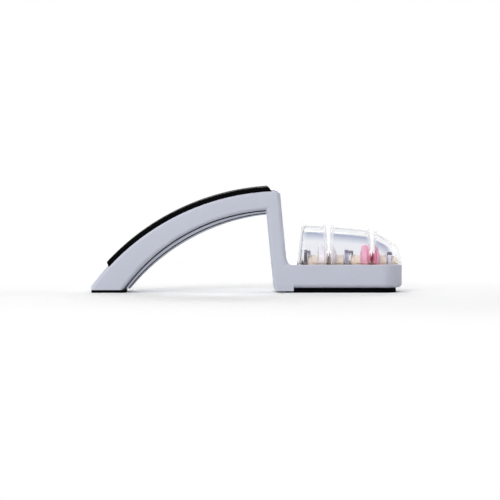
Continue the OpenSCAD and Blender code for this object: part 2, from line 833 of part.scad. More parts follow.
module front_bearing_plate() { bearing_plate(front_plate_x, plate_top); }
module middle_bearing_plate() { bearing_plate(middle_plate_x, plate_top); }
module rear_bearing_plate() { bearing_plate(rear_plate_x, plate_top - keeper_roof); }

module front_axle_keeper() { axle_keeper(front_plate_x, plate_top, 0, front_hooks[0][1], front_hooks); }
module middle_axle_keeper() { axle_keeper(middle_plate_x, plate_top, 0, middle_hooks[1][1], middle_hooks); }
module rear_axle_keeper() { axle_keeper(rear_plate_x, plate_top - keeper_roof, end_gap, end_gap, []); }

// Axle

module axle() {
    color([0.75, 0.76, 0.78]) on_axle(axle_back)
        cylinder(d = axle_d, h = cap_x + cap_t - cap_end - axle_back);
}

module axle_ring() {
    color([0.12, 0.12, 0.14]) on_axle(ring_back) difference() {
        cylinder(d = axle_d + 2 * ring_wall, h = ring_t);
        translate([0, 0, -1]) cylinder(r = axle_d / 2 + wheel_fit, h = ring_t + 2);
    }
}

module axle_end_cap() {
    color([0.93, 0.89, 0.82]) on_axle(cap_x) difference() {
        rotate_extrude() soft_rect([0, 0], [cap_d / 2, cap_t], cap_edge * [0, 0, 1, 0]);
        translate([0, 0, -1]) cylinder(r = axle_d / 2 + wheel_fit, h = cap_t - cap_end + 1.1);
    }
}

// Wheels and hubs, drawn along the axle from their slot

module hub(x) {
    bore = axle_d / 2 + running_fit;
    color([0.92, 0.88, 0.8]) on_axle(x) rotate_extrude() polygon([
        [bore, -hub_back], [journal_r - hub_edge, -hub_back], [journal_r, hub_edge - hub_back],
        [journal_r, journal_l - hub_back], [hub_d / 2 - hub_edge, journal_l - hub_back],
        [hub_d / 2, journal_l + hub_edge - hub_back], [hub_d / 2, -left_back],
        [sleeve_d / 2, -left_back], [sleeve_d / 2, sleeve_end], [bore, sleeve_end]]);
}

module hub_cap(x) {
    bore = axle_d / 2 + running_fit;
    socket = sleeve_d / 2 + wheel_fit;
    color([0.92, 0.88, 0.8]) on_axle(x) rotate_extrude() polygon([
        [socket, right_back], [hub_d / 2, right_back], [hub_d / 2, hub_front - hub_edge],
        [hub_d / 2 - hub_edge, hub_front], [bore, hub_front], [bore, sleeve_end], [socket, sleeve_end]]);
}

// The left wheel is thick, with a nearly flat back that seats on the hub
module left_wheel(x, tint) {
    color(tint) on_axle(x) rotate_extrude() polygon([
        [wheel_bore, -vee_root], [vee_root_r, -vee_root], [wheel_r - wheel_chamfer, -vee_gap / 2],
        [wheel_r, -vee_gap / 2 - wheel_chamfer], [wheel_r, -vee_gap / 2 - thick_rim + wheel_chamfer],
        [wheel_r - wheel_chamfer, -vee_gap / 2 - thick_rim], [hub_d / 2, -left_back],
        [wheel_bore, -left_back]]);
}

// The right wheel is thin at its rim, with a back that slopes out to the hub cap
module right_wheel(x, tint) {
    color(tint) on_axle(x) rotate_extrude() polygon([
        [wheel_bore, vee_root], [vee_root_r, vee_root], [wheel_r - wheel_chamfer, vee_gap / 2],
        [wheel_r, vee_gap / 2 + wheel_chamfer], [wheel_r, vee_gap / 2 + thin_rim - wheel_chamfer],
        [wheel_r - wheel_chamfer, vee_gap / 2 + thin_rim], [hub_d / 2 + wheel_chamfer, right_back],
        [wheel_bore, right_back]]);
}

module coarse_hub() { hub(coarse_x); }
module coarse_left_wheel() { left_wheel(coarse_x, coarse_tint); }
module coarse_right_wheel() { right_wheel(coarse_x, coarse_tint); }
module coarse_hub_cap() { hub_cap(coarse_x); }
module fine_hub() { hub(fine_x); }
module fine_left_wheel() { left_wheel(fine_x, fine_tint); }
module fine_right_wheel() { right_wheel(fine_x, fine_tint); }
module fine_hub_cap() { hub_cap(fine_x); }

body_shell();
handle_liner();
liner_screws();
grip_pad();
heel_foot();
base_pad();
lid();
front_bearing_plate();
middle_bearing_plate();
rear_bearing_plate();
front_axle_keeper();
middle_axle_keeper();
rear_axle_keeper();
axle();
axle_ring();
axle_end_cap();
coarse_hub();
coarse_left_wheel();
coarse_right_wheel();
coarse_hub_cap();
fine_hub();
fine_left_wheel();
fine_right_wheel();
fine_hub_cap();
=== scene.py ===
from math import radians, sin, cos, pi

import bmesh
import bpy
import numpy as np
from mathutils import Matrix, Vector


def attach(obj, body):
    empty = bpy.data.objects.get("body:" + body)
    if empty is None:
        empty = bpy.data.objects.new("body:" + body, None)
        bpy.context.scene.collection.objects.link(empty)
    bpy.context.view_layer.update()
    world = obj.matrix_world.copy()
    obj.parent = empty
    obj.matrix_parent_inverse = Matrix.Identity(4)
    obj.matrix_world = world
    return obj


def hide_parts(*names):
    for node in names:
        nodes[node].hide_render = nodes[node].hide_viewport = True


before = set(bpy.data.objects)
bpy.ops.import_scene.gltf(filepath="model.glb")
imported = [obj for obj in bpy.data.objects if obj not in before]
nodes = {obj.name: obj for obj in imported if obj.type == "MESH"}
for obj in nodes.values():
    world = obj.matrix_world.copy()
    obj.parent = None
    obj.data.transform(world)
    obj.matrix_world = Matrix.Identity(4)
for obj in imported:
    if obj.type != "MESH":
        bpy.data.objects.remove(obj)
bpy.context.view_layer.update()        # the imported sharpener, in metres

mm = 0.001
tiny = 1e-9              # keeps a division from meeting zero
scene = bpy.context.scene
print("frame loaded,", len(nodes), "nodes")


def gridFaces(rows, cols, start):
    # quads between the neighbours of a rows x cols grid of points, numbered row by row
    i = np.arange(rows - 1)[:, None] * cols + np.arange(cols - 1)[None, :] + start
    return np.stack([i, i + 1, i + cols + 1, i + cols], axis=-1).reshape(-1, 4)


def placeObject(name, data):
    made = bpy.data.objects.new(name, data)
    scene.collection.objects.link(made)
    return made


def meshFromGrids(name, grids, weld=1e-6):
    # each grid is rows x cols x 3 in millimetres; points closer than weld, in metres, merge, so
    # that grids which share an edge become one closed mesh with outward faces
    points = np.concatenate([g.reshape(-1, 3) for g in grids]) * mm
    counts = np.cumsum([0] + [g.shape[0] * g.shape[1] for g in grids])
    faces = np.concatenate([gridFaces(*g.shape[:2], start) for g, start in zip(grids, counts)])
    mesh = bpy.data.meshes.new(name)
    mesh.vertices.add(len(points))
    mesh.vertices.foreach_set("co", points.ravel())
    mesh.loops.add(faces.size)
    mesh.loops.foreach_set("vertex_index", faces.ravel().astype(np.int32))
    mesh.polygons.add(len(faces))
    mesh.polygons.foreach_set("loop_start", np.arange(len(faces), dtype=np.int32) * 4)
    mesh.update(calc_edges=True)
    work = bmesh.new()
    work.from_mesh(mesh)
    bmesh.ops.remove_doubles(work, verts=work.verts, dist=weld)
    bmesh.ops.dissolve_degenerate(work, edges=work.edges, dist=weld)
    bmesh.ops.recalc_face_normals(work, faces=work.faces)
    work.to_mesh(mesh)
    work.free()
    mesh.polygons.foreach_set("use_smooth", np.ones(len(mesh.polygons), bool))
    return placeObject(name, mesh)


def dropObject(thing):
    # removes a helper piece together with its mesh
    mesh = thing.data
    bpy.data.objects.remove(thing)
    bpy.data.meshes.remove(mesh)


def joinPieces(name, parts):
    # several closed meshes become one object, each with its own outward faces
    work = bmesh.new()
    for part in parts:
        work.from_mesh(part.data)
        dropObject(part)
    mesh = bpy.data.meshes.new(name)
    work.to_mesh(mesh)
    work.free()
    return placeObject(name, mesh)


def smoothExcept(thing, degrees):
    # shades a piece smooth, apart from the edges where its faces turn by more than this
    mesh = thing.data
    mesh.polygons.foreach_set("use_smooth", np.ones(len(mesh.polygons), bool))
    mesh.set_sharp_from_angle(angle=radians(degrees))


def pointsOf(mesh):
    # a mesh's points as three arrays, X, Y and Z, in millimetres
    points = np.empty(len(mesh.vertices) * 3, np.float32)
    mesh.vertices.foreach_get("co", points)
    return points.reshape(-1, 3).T / mm


def addLayer(mesh, name, values):
    # one number for each point, which a material reads by this name
    layer = mesh.attributes.new(name, "FLOAT", "POINT")
    layer.data.foreach_set("value", values.astype(np.float32))


studio = dict(
    aim=(2.36, 0, 30.27),                    # mm, the point in the middle of the picture
    elevation=1.8,                           # degrees above the floor
    distance=4000,                           # mm
    frameWidth=363.5,                        # mm seen across the picture at the object
    sensor=36, seesTo=50,                    # mm, and metres
    floorHalf=9000,                          # mm
    floorTone=0.95, bounceTone=0.7,          # the floor as seen, and as it lights the sharpener
    glowFrom=0.11,                           # metres to each side of the middle that count as near
    glowReach=(0.2, 0.6),                    # metres beyond them over which the floor turns white
    roomLight=0.12, roomSide=0.6,            # the room's light, and how far it leans to the left
    mirrorDark=0.35, mirrorEdge=(-0.75, -0.1),    # what gloss shows of the room behind the camera
    fieldDark=0.55, fieldEdge=(0.45, 0.85),  # what the lid bends in from steeply above
)

# area lamps: place and size in mm, power in watts; all of them face lampAim
lamps = dict(
    leftKey=dict(place=(-600, -1500, 860), size=(1700, 700), power=24),
    topSoftbox=dict(place=(-100, -100, 1500), size=(1200, 2200), power=7.5),
    backSoftbox=dict(place=(0, 1500, 620), size=(1600, 500), power=26),
    rightRim=dict(place=(1700, 500, 500), size=(400, 500), power=6),
)
lampAim = (0, 0, 35)


def addCamera():
    # the lens shows frameWidth at this distance; the camera looks at aim from the front
    data = bpy.data.cameras.new("sideCamera")
    data.sensor_width = studio["sensor"]
    data.lens = data.sensor_width * studio["distance"] / studio["frameWidth"]
    data.clip_end = studio["seesTo"]
    camera = placeObject("sideCamera", data)
    lift = radians(studio["elevation"])
    away = Vector((0, -cos(lift), sin(lift))) * studio["distance"] * mm
    camera.location = Vector(studio["aim"]) * mm + away
    camera.rotation_euler = (-away).to_track_quat("-Z", "Y").to_euler()
    scene.camera = camera


def setInputs(tree, node, inputs):
    # each input takes another node's output, a colour or a plain value
    for key, value in inputs.items():
        socket = node.inputs[key]
        if isinstance(value, bpy.types.NodeSocket):
            tree.links.new(value, socket)
        elif socket.type == "RGBA" and len(value) == 3:
            socket.default_value = (*value, 1)
        else:
            socket.default_value = value
    return node


def addNode(tree, kind, inputs=None, **settings):
    node = tree.nodes.new("ShaderNode" + kind)
    for key, value in settings.items():
        setattr(node, key, value)
    return setInputs(tree, node, inputs or {})


def maths(tree, operation, a, b=0.0, c=0.0, clamp=False):
    # one step of arithmetic with numbers or other nodes' outputs
    inputs = {0: a, 1: b, 2: c}
    return addNode(tree, "Math", inputs, operation=operation, use_clamp=clamp).outputs[0]


def ramp(tree, value, low, high, start=0.0, end=1.0, smooth=True):
    # start below low, end above high, with an eased or an even change between them
    inputs = {"Value": value, "From Min": low, "From Max": high, "To Min": start, "To Max": end}
    kind = "SMOOTHSTEP" if smooth else "LINEAR"
    return addNode(tree, "MapRange", inputs, interpolation_type=kind).outputs["Result"]


def mixColours(tree, share, first, second):
    # the node's colours are its inputs 6 and 7, and its output 2
    inputs = {"Factor": share, 6: first, 7: second}
    return addNode(tree, "Mix", inputs, data_type="RGBA").outputs[2]


def mixShaders(tree, share, first, second):
    return addNode(tree, "MixShader", {0: share, 1: first, 2: second}).outputs[0]


def scaled(tree, vector, gain):
    # a colour or a place times one number
    return addNode(tree, "VectorMath", {0: vector, "Scale": gain}, operation="SCALE").outputs[0]


def ownPlace(tree):
    return addNode(tree, "TexCoord").outputs["Object"]


def ownLayer(tree, name):
    # what addLayer has stored on the piece
    return addNode(tree, "Attribute", attribute_name=name).outputs["Fac"]


def addWorld():
    # white for the camera; gloss sees a darker room behind the camera, and the clear lid bends in
    # a darker ceiling, which draws its edges; the light that falls on the sharpener is soft and
    # stronger from the left
    world = bpy.data.worlds.new("whiteRoom")
    scene.world = world
    world.use_nodes = True
    tree = world.node_tree
    tree.nodes.clear()
    path = addNode(tree, "LightPath").outputs
    way = addNode(tree, "SeparateXYZ", {0: addNode(tree, "TexCoord").outputs["Generated"]}).outputs
    mirror = ramp(tree, way["Y"], *studio["mirrorEdge"], studio["mirrorDark"], 1.0)
    field = ramp(tree, way["Z"], *studio["fieldEdge"], 1.0, studio["fieldDark"])
    leaning = maths(tree, "MULTIPLY", way["X"], -studio["roomLight"] * studio["roomSide"])
    strength = maths(tree, "ADD", leaning, studio["roomLight"])
    seenBy = {"Is Glossy Ray": mirror, "Is Transmission Ray": field, "Is Camera Ray": 1.0}
    for ray, seen in seenBy.items():
        strength = addNode(tree, "Mix", {"Factor": path[ray], "A": strength, "B": seen}).outputs[0]
    back = addNode(tree, "Background", {"Color": (1, 1, 1), "Strength": strength})
    addNode(tree, "OutputWorld", {"Surface": back.outputs[0]})


def addFloor():
    # a flat pale floor; away from the sharpener it is lifted to white, for the camera, gloss and
    # the clear lid alone, by the distance from a line as long as the sharpener
    side = np.array([-1, 1]) * float(studio["floorHalf"])
    grid = np.stack(np.broadcast_arrays(side[None, :], side[:, None], np.zeros((2, 2))), axis=-1)
    floor = meshFromGrids("floor", [grid])
    material = bpy.data.materials.new("paleFloor")
    material.use_nodes = True
    tree = material.node_tree
    tree.nodes.clear()
    path = addNode(tree, "LightPath").outputs
    bent = maths(tree, "MAXIMUM", path["Is Glossy Ray"], path["Is Transmission Ray"])
    seen = maths(tree, "MAXIMUM", path["Is Camera Ray"], bent)
    place = addNode(tree, "SeparateXYZ", {0: ownPlace(tree)}).outputs
    along = maths(tree, "SUBTRACT", maths(tree, "ABSOLUTE", place["X"]), studio["glowFrom"])
    past = maths(tree, "POWER", maths(tree, "MAXIMUM", along), 2.0)
    far = maths(tree, "SQRT", maths(tree, "ADD", past, maths(tree, "POWER", place["Y"], 2.0)))
    white = maths(tree, "MULTIPLY", seen, ramp(tree, far, *studio["glowReach"]))
    tone = ramp(tree, seen, 0.0, 1.0, studio["bounceTone"], studio["floorTone"], smooth=False)
    matt = addNode(tree, "BsdfDiffuse", {"Color": tone}).outputs[0]
    glow = addNode(tree, "Emission").outputs[0]
    addNode(tree, "OutputMaterial", {"Surface": mixShaders(tree, white, matt, glow)})
    floor.data.materials.append(material)


def addLamp(name, look):
    data = bpy.data.lights.new(name, "AREA")
    data.shape = "RECTANGLE"
    data.size, data.size_y = look["size"][0] * mm, look["size"][1] * mm
    data.energy = look["power"]
    lamp = placeObject(name, data)
    lamp.location = Vector(look["place"]) * mm
    lamp.visible_transmission = False        # the clear lid shows the white room, not the lamps
    lamp.rotation_euler = (Vector(lampAim) * mm - lamp.location).to_track_quat("-Z", "Y").to_euler()


addCamera()
addWorld()
addFloor()
for lampName, look in lamps.items():
    addLamp(lampName, look)
print("studio ready")


# the patterns that several finishes share
patterns = dict(
    fineDetail=3.0, pitScale=0.8, pitFloor=0.4,    # the mould's grain
    toneEdge=(0.3, 0.7),
    driftDetail=2.0, speckSize=0.5, speckDetail=1.0,    # the specks in mm
    rubSamples=4,
)


def newGroup(name, inputs, outputs):
    # a shader group; inputs and outputs are (name, kind) pairs, an input with its value after them
    tree = bpy.data.node_groups.new(name, "ShaderNodeTree")
    for title, kind, value in inputs:
        socket = tree.interface.new_socket(title, in_out="INPUT", socket_type="NodeSocket" + kind)
        socket.default_value = (*value, 1) if kind == "Color" else value
    for title, kind in outputs:
        tree.interface.new_socket(title, in_out="OUTPUT", socket_type="NodeSocket" + kind)
    return tree, tree.nodes.new("NodeGroupInput").outputs, tree.nodes.new("NodeGroupOutput")


def finerPlace(tree, size):
    # object coordinates measured in steps of size millimetres
    return scaled(tree, ownPlace(tree), maths(tree, "DIVIDE", 1 / mm, size))


def noise(tree, place, detail, **more):
    # a cloudy pattern from 0 to 1, whose patches are about one step of place wide
    inputs = {"Vector": place, "Scale": 1.0, "Detail": detail, **more}
    return addNode(tree, "TexNoise", inputs).outputs["Fac"]


def cells(tree, place, scale=1.0):
    # the distance to the nearest of many scattered points
    return addNode(tree, "TexVoronoi", {"Vector": place, "Scale": scale}).outputs["Distance"]


def makeGrain():
    # the fine sparked texture of a mould: noise times the distance to scattered pits is its
    # height, and the noise alone is its tone
    tree, given, made = newGroup(
        "mouldGrain",
        [("Size", "Float", 0.6), ("Fineness", "Float", 0.5)],
        [("Height", "Float"), ("Tone", "Float")])
    place = finerPlace(tree, given["Size"])
    fine = noise(tree, place, patterns["fineDetail"], Roughness=given["Fineness"])
    pits = cells(tree, place, patterns["pitScale"])
    height = maths(tree, "MULTIPLY", fine, maths(tree, "ADD", pits, patterns["pitFloor"]))
    setInputs(tree, made, {"Height": height, "Tone": ramp(tree, fine, *patterns["toneEdge"])})
    return tree


def makeDrift():
    # a colour that wanders a little in lightness: it is scaled by 1 plus or minus Drift over
    # broad patches, and by Speck over fine ones
    tree, given, made = newGroup(
        "toneDrift",
        [("Colour", "Color", (0.5, 0.5, 0.5)), ("Patch", "Float", 30.0),
         ("Drift", "Float", 0.05), ("Speck", "Float", 0.03)],
        [("Colour", "Color")])
    broad = noise(tree, finerPlace(tree, given["Patch"]), patterns["driftDetail"])
    fine = noise(tree, finerPlace(tree, patterns["speckSize"]), patterns["speckDetail"])
    swing = maths(tree, "MULTIPLY", maths(tree, "SUBTRACT", broad, 0.5), given["Drift"])
    grit = maths(tree, "MULTIPLY", maths(tree, "SUBTRACT", fine, 0.5), given["Speck"])
    gain = maths(tree, "MULTIPLY_ADD", maths(tree, "ADD", swing, grit), 2.0, 1.0)
    setInputs(tree, made, {"Colour": scaled(tree, given["Colour"], gain)})
    return tree


def makeEdgeRubAndHighlight():
    # 1 along convex edges, where hands polish a moulding and where a painted highlight lightens its
    # colour: how far the rounded normal turns away from the plain one, times Strength
    tree, given, made = newGroup(
        "edgeRubAndHighlight",
        [("Reach", "Float", 0.001), ("Strength", "Float", 1.0)],
        [("Mask", "Float")])
    bevel = addNode(tree, "Bevel", {"Radius": given["Reach"]}, samples=patterns["rubSamples"])
    both = {0: bevel.outputs["Normal"], 1: addNode(tree, "NewGeometry").outputs["Normal"]}
    match = addNode(tree, "VectorMath", both, operation="DOT_PRODUCT").outputs["Value"]
    turned = maths(tree, "SUBTRACT", 1.0, match)
    setInputs(tree, made, {"Mask": maths(tree, "MULTIPLY", turned, given["Strength"], clamp=True)})
    return tree


grainGroup, driftGroup, rubAndHighlightGroup = makeGrain(), makeDrift(), makeEdgeRubAndHighlight()


def useGroup(tree, group, **values):
    # one of the shared patterns with these values, as its outputs
    node = tree.nodes.new("ShaderNodeGroup")
    node.node_tree = group
    return setInputs(tree, node, values).outputs


def drifting(tree, look, colour):
    # the colour, wandering over the finish's own patches and specks
    values = dict(Colour=colour, Patch=look["patch"], Drift=look["drift"], Speck=look["speck"])
    return useGroup(tree, driftGroup, **values)["Colour"]


def bumped(tree, height, distance, strength):
    # a normal tilted by a height that spans this many millimetres
    inputs = {"Height": height, "Distance": distance * mm, "Strength": strength}
    return addNode(tree, "Bump", inputs).outputs[0]


def startFinish(name):
    # a new material, its node tree and the shader in it
    material = bpy.data.materials.new(name)
    material.use_nodes = True
    tree = material.node_tree
    return material, tree, tree.nodes["Principled BSDF"]


# each moulded or moulding-like finish: colour, the size in mm of its patches, how far they drift,
# how strong its specks are, its grain's size and height in mm, the spread of its roughness, its
# shine, and how far in metres and how strongly its edges are rubbed and lit by a painted highlight;
# the groove value is how much painted shade darkens the skins that the piece's own groove
# attribute marks
plate = dict(patch=12, grain=0.3, height=0.006, rough=(0.35, 0.5), shine=0.4, edge=0.0004)
finishes = dict(
    bodyGrey=dict(colour=(0.53, 0.55, 0.64), patch=45, drift=0.03, speck=0.05, grain=0.55,
                  height=0.012, rough=(0.40, 0.52), shine=0.45, edge=0.0012, rubbedAndHighlit=0.08),
    coverGrey=dict(colour=(0.42, 0.44, 0.52), patch=40, drift=0.03, speck=0.05, grain=0.5,
                   height=0.012, rough=(0.40, 0.52), shine=0.4, edge=0.0006, rubbedAndHighlit=0.05,
                   paintedGrooveShade=0.85),
    gripRubber=dict(colour=(0.0025, 0.0025, 0.003), patch=18, drift=0.3, speck=0.4, grain=0.45,
                    height=0.03, rough=(0.72, 0.9), shine=0.02, edge=0.0008, rubbedAndHighlit=0.5),
    footRubber=dict(colour=(0.002, 0.002, 0.0025), patch=15, drift=0.3, speck=0.4, grain=0.35,
                    height=0.02, rough=(0.65, 0.85), shine=0.02, edge=0.0006, rubbedAndHighlit=0.4),
    # the bearing plates are one grey plastic; the front and middle ones are darker copies with
    # painted shade
    frontPlatePaintedShade=dict(plate, colour=(0.05, 0.042, 0.06), drift=0.06, speck=0.08, rubbedAndHighlit=0.2),
    middlePlateHalfPaintedShade=dict(plate, colour=(0.30, 0.28, 0.38), drift=0.05, speck=0.06, rubbedAndHighlit=0.15),
    rearPlate=dict(plate, colour=(0.62, 0.62, 0.70), drift=0.04, speck=0.05, rubbedAndHighlit=0.1),
    keeperGrey=dict(colour=(0.13, 0.11, 0.15), patch=8, drift=0.08, speck=0.1, grain=0.3,
                    height=0.006, rough=(0.35, 0.5), shine=0.5, edge=0.0003, rubbedAndHighlit=0.3),
    hubCream=dict(colour=(0.70, 0.61, 0.51), patch=9, drift=0.05, speck=0.04, grain=0.3,
                  height=0.006, rough=(0.35, 0.48), shine=0.45, edge=0.0004, rubbedAndHighlit=0.1),
    ringRubber=dict(colour=(0.01, 0.01, 0.012), patch=5, drift=0.2, speck=0.3, grain=0.25,
                    height=0.008, rough=(0.6, 0.75), shine=0.15, edge=0.0002, rubbedAndHighlit=0.3),
)
# what all of them share: the grain's fineness, how soon an edge counts as rubbed, how much paler
# (rubbed wear and painted highlight) and smoother it is there, and how strongly the grain shows
moulding = dict(fineness=0.55, rubGain=3.0, paleGain=1.6, paleLift=0.01, rubPolish=0.12, bump=0.8)


def mouldedFinish(name):
    # drifting colour over a fine moulded grain, lighter and smoother along rubbed edges; the
    # lighter colour there is partly rubbed wear and partly a painted highlight
    look, m = finishes[name], moulding
    material, tree, shader = startFinish(name)
    grain = useGroup(tree, grainGroup, Size=look["grain"], Fineness=m["fineness"])
    rubAndHighlightMask = useGroup(tree, rubAndHighlightGroup, Reach=look["edge"], Strength=m["rubGain"])["Mask"]
    # edges lighter by rubbed wear and by a painted highlight
    lift = maths(tree, "MULTIPLY", rubAndHighlightMask, look["rubbedAndHighlit"])
    rubAndHighlightColour = tuple(min(1, c * m["paleGain"] + m["paleLift"]) for c in look["colour"])
    colour = mixColours(tree, lift, drifting(tree, look, look["colour"]), rubAndHighlightColour)
    # painted shade darkens the skins set back in the grooves
    if "paintedGrooveShade" in look:
        grooveShadeShare = maths(tree, "MULTIPLY", ownLayer(tree, "paintedGrooveShade"), look["paintedGrooveShade"])
        colour = scaled(tree, colour, maths(tree, "SUBTRACT", 1.0, grooveShadeShare))
    rough = ramp(tree, grain["Tone"], 0.0, 1.0, *look["rough"], smooth=False)
    rough = maths(tree, "SUBTRACT", rough, maths(tree, "MULTIPLY", rubAndHighlightMask, m["rubPolish"]))
    bump = bumped(tree, grain["Height"], look["height"], m["bump"])
    setInputs(tree, shader, {"Base Color": colour, "Roughness": rough, "Normal": bump,
                             "Specular IOR Level": look["shine"]})
    return material


ceramics = dict(
    # deep is each ceramic's colour with painted shade, for the rims in the narrow V by the slot
    whiteCeramic=dict(colour=(0.71, 0.67, 0.68), deep=(0.66, 0.60, 0.59), slot=59.4),
    pinkCeramic=dict(colour=(0.68, 0.31, 0.42), deep=(0.58, 0.06, 0.18), slot=90.7),
    slotShadeReach=(1.5, 5.0),                    # mm from the slot over which the painted shade fades
    patch=6.0, drift=0.06, speck=0.12,
    pore=0.28, poreEdge=(0.1, 0.5), poreDepth=0.03, bump=0.7,    # size and depth in mm
    rough=(0.8, 0.62), shine=0.3,
)


def ceramicFinish(name):
    # fired abrasive ceramic: fine open pores, and painted shade, a deeper tint, on the rims that
    # close the V, which lie in shade
    look, c = ceramics[name], ceramics
    material, tree, shader = startFinish(name)
    place = addNode(tree, "SeparateXYZ", {0: ownPlace(tree)}).outputs
    away = maths(tree, "ABSOLUTE", maths(tree, "SUBTRACT", place["X"], look["slot"] * mm))
    low, high = c["slotShadeReach"]
    # painted shade: the colour deepens towards the slot
    deep = ramp(tree, away, low * mm, high * mm, 1.0, 0.0)
    colourWithPaintedShade = mixColours(tree, deep, look["colour"], look["deep"])
    hollow = ramp(tree, cells(tree, finerPlace(tree, c["pore"])), *c["poreEdge"])
    bump = bumped(tree, hollow, c["poreDepth"], c["bump"])
    rough = ramp(tree, hollow, 0.0, 1.0, *c["rough"], smooth=False)
    setInputs(tree, shader, {"Base Color": drifting(tree, c, colourWithPaintedShade), "Roughness": rough,
                             "Normal": bump, "Specular IOR Level": c["shine"]})
    return material


steel = dict(
    colour=(0.62, 0.62, 0.64), patch=5.0, drift=0.08, speck=0.05,
    rings=(9000, 400, 400), ringDetail=2.0,  # turns of the pattern in a metre along X, Y and Z
    ringEdge=(0.3, 0.7), rough=(0.18, 0.34), height=0.004, bump=0.6,
)


def steelFinish():
    # turned steel: fine rings across the axle's line, with a roughness that follows them
    s = steel
    material, tree, shader = startFinish("turnedSteel")
    both = {0: ownPlace(tree), 1: s["rings"]}
    stretched = addNode(tree, "VectorMath", both, operation="MULTIPLY").outputs[0]
    rings = noise(tree, stretched, s["ringDetail"])
    setInputs(tree, shader, {"Base Color": drifting(tree, s, s["colour"]), "Metallic": 1,
                             "Roughness": ramp(tree, rings, *s["ringEdge"], *s["rough"]),
                             "Normal": bumped(tree, rings, s["height"], s["bump"])})
    return material


glass = dict(
    clear=(0.985, 0.988, 0.995),
    paintedShade=(0.61, 0.64, 0.74), paintedFootShade=(0.80, 0.74, 0.70),    # the painted shade and the painted foot shade, where the lid's two attributes are 1
    index=1.47, polish=(0.012, 0.03),
    flow=9.0, flowDetail=1.0, flowEdge=(0.35, 0.65),      # the flow marks, in mm
    letThrough=(0.93, 0.94, 0.96),           # the light of the lamps that passes
    longest=2.5, paintedGlow=0.85,                 # mirrorings followed in the wall, and the strength of the painted glow that ends them
)


def clearFinish():
    # clear moulded plastic with painted shade: greyer where the piece's first attribute says, for
    # the darker surroundings its walls bend in, and browner along the foot, for the shade deep in
    # the trough; faint flow marks in its polish; lamps shine through it
    g = glass
    material, tree, shader = startFinish("clearPlastic")
    # painted shade and painted foot shade darken the clear colour
    withPaintedShade = mixColours(tree, ownLayer(tree, "paintedShade"), g["clear"], g["paintedShade"])
    colourWithPaintedShade = mixColours(tree, ownLayer(tree, "paintedFootShade"), withPaintedShade, g["paintedFootShade"])
    flow = noise(tree, finerPlace(tree, g["flow"]), g["flowDetail"])
    polish = ramp(tree, flow, *g["flowEdge"], *g["polish"])
    setInputs(tree, shader, {"Base Color": colourWithPaintedShade, "Roughness": polish, "IOR": g["index"],
                             "Transmission Weight": 1})
    path = addNode(tree, "LightPath").outputs
    through = addNode(tree, "BsdfTransparent", {"Color": g["letThrough"]}).outputs[0]
    lit = mixShaders(tree, path["Is Shadow Ray"], shader.outputs[0], through)
    # light caught between a wall's two faces goes on too long to be followed, and ends in a painted
    # glow
    caught = maths(tree, "GREATER_THAN", path["Glossy Depth"], g["longest"])
    paintedGlow = addNode(tree, "Emission", {"Strength": g["paintedGlow"]}).outputs[0]
    surface = mixShaders(tree, caught, lit, paintedGlow)
    setInputs(tree, tree.nodes["Material Output"], {"Surface": surface})
    return material


def dress(material, *names):
    # a CAD node keeps its mesh and gets this finish
    for name in names:
        node = nodes[name]
        if not node.material_slots:
            node.data.materials.append(material)
        for slot in node.material_slots:
            slot.material = material


coverGrey = mouldedFinish("coverGrey")
gripRubber = mouldedFinish("gripRubber")
clearPlastic = clearFinish()
dress(mouldedFinish("bodyGrey"), "body_shell")
dress(mouldedFinish("footRubber"), "heel_foot", "base_pad")
dress(mouldedFinish("ringRubber"), "axle_ring")
# the front and middle plates carry painted shade over the rear plate's grey
dress(mouldedFinish("frontPlatePaintedShade"), "front_bearing_plate")
dress(mouldedFinish("middlePlateHalfPaintedShade"), "middle_bearing_plate")
dress(mouldedFinish("rearPlate"), "rear_bearing_plate")
dress(mouldedFinish("keeperGrey"), "front_axle_keeper", "middle_axle_keeper", "rear_axle_keeper")
dress(mouldedFinish("hubCream"), "coarse_hub", "coarse_hub_cap", "fine_hub", "fine_hub_cap",
      "axle_end_cap")
dress(ceramicFinish("whiteCeramic"), "coarse_left_wheel", "coarse_right_wheel")
dress(ceramicFinish("pinkCeramic"), "fine_left_wheel", "fine_right_wheel")
dress(steelFinish(), "axle", "liner_screws")
print("finishes ready")


# the clear lid, three hoods joined along the rim; all in mm, but for angles in degrees
hood = dict(
    back=36.6, lean=6,                       # the back wall's foot, and how far the wall leans
    half=22.5, wall=1.8, rim=20.3, widest=23.0,
    crownCentre=(23.5, -450.1), crownRadius=500, crownSlope=0.1,
    noseCentre=(92.9, 22.8), noseRadius=19.2, noseTurn=63,
    shoulder=6.5, leastShoulder=0.001,       # the rounding over the sides, and its least share
    planRadius=15, backRadius=5, topEdge=1.6, edgeBand=4, crease=1.6,    # other roundings
    flangeHeight=1.6, flangeOut=0.4,         # the band that stands out along the foot
    coarseSlot=59.4, fineSlot=90.7, slotHalf=0.95, slotFloor=23.4,
    mouth=1.0, mouthRise=((34, 38, 43, 50), (0, 0.25, 0.8, 1)),    # heights, and shares of it
    guide=1.15, flareStart=32, flareEnd=46, flare=1.6,    # the walls beside the slots
    beadRadius=1.35, beadTop=0.1, beadSide=-0.85,    # the bead's middle over the skin
    axleHeight=20.1, wheelRoom=14.9,
    bridgeIn=14.7, bridgeLap=0.3,            # the bars across the slots' feet
    tongueFrom=47.4, tongueTo=92.7, tongueHalf=(19.2, 20.3), tongueFoot=18.3, tongueLap=0.2,
    backFan=44, noseFan=97,                  # where the fans of rays that close the ends stand
    sharp=38,
)
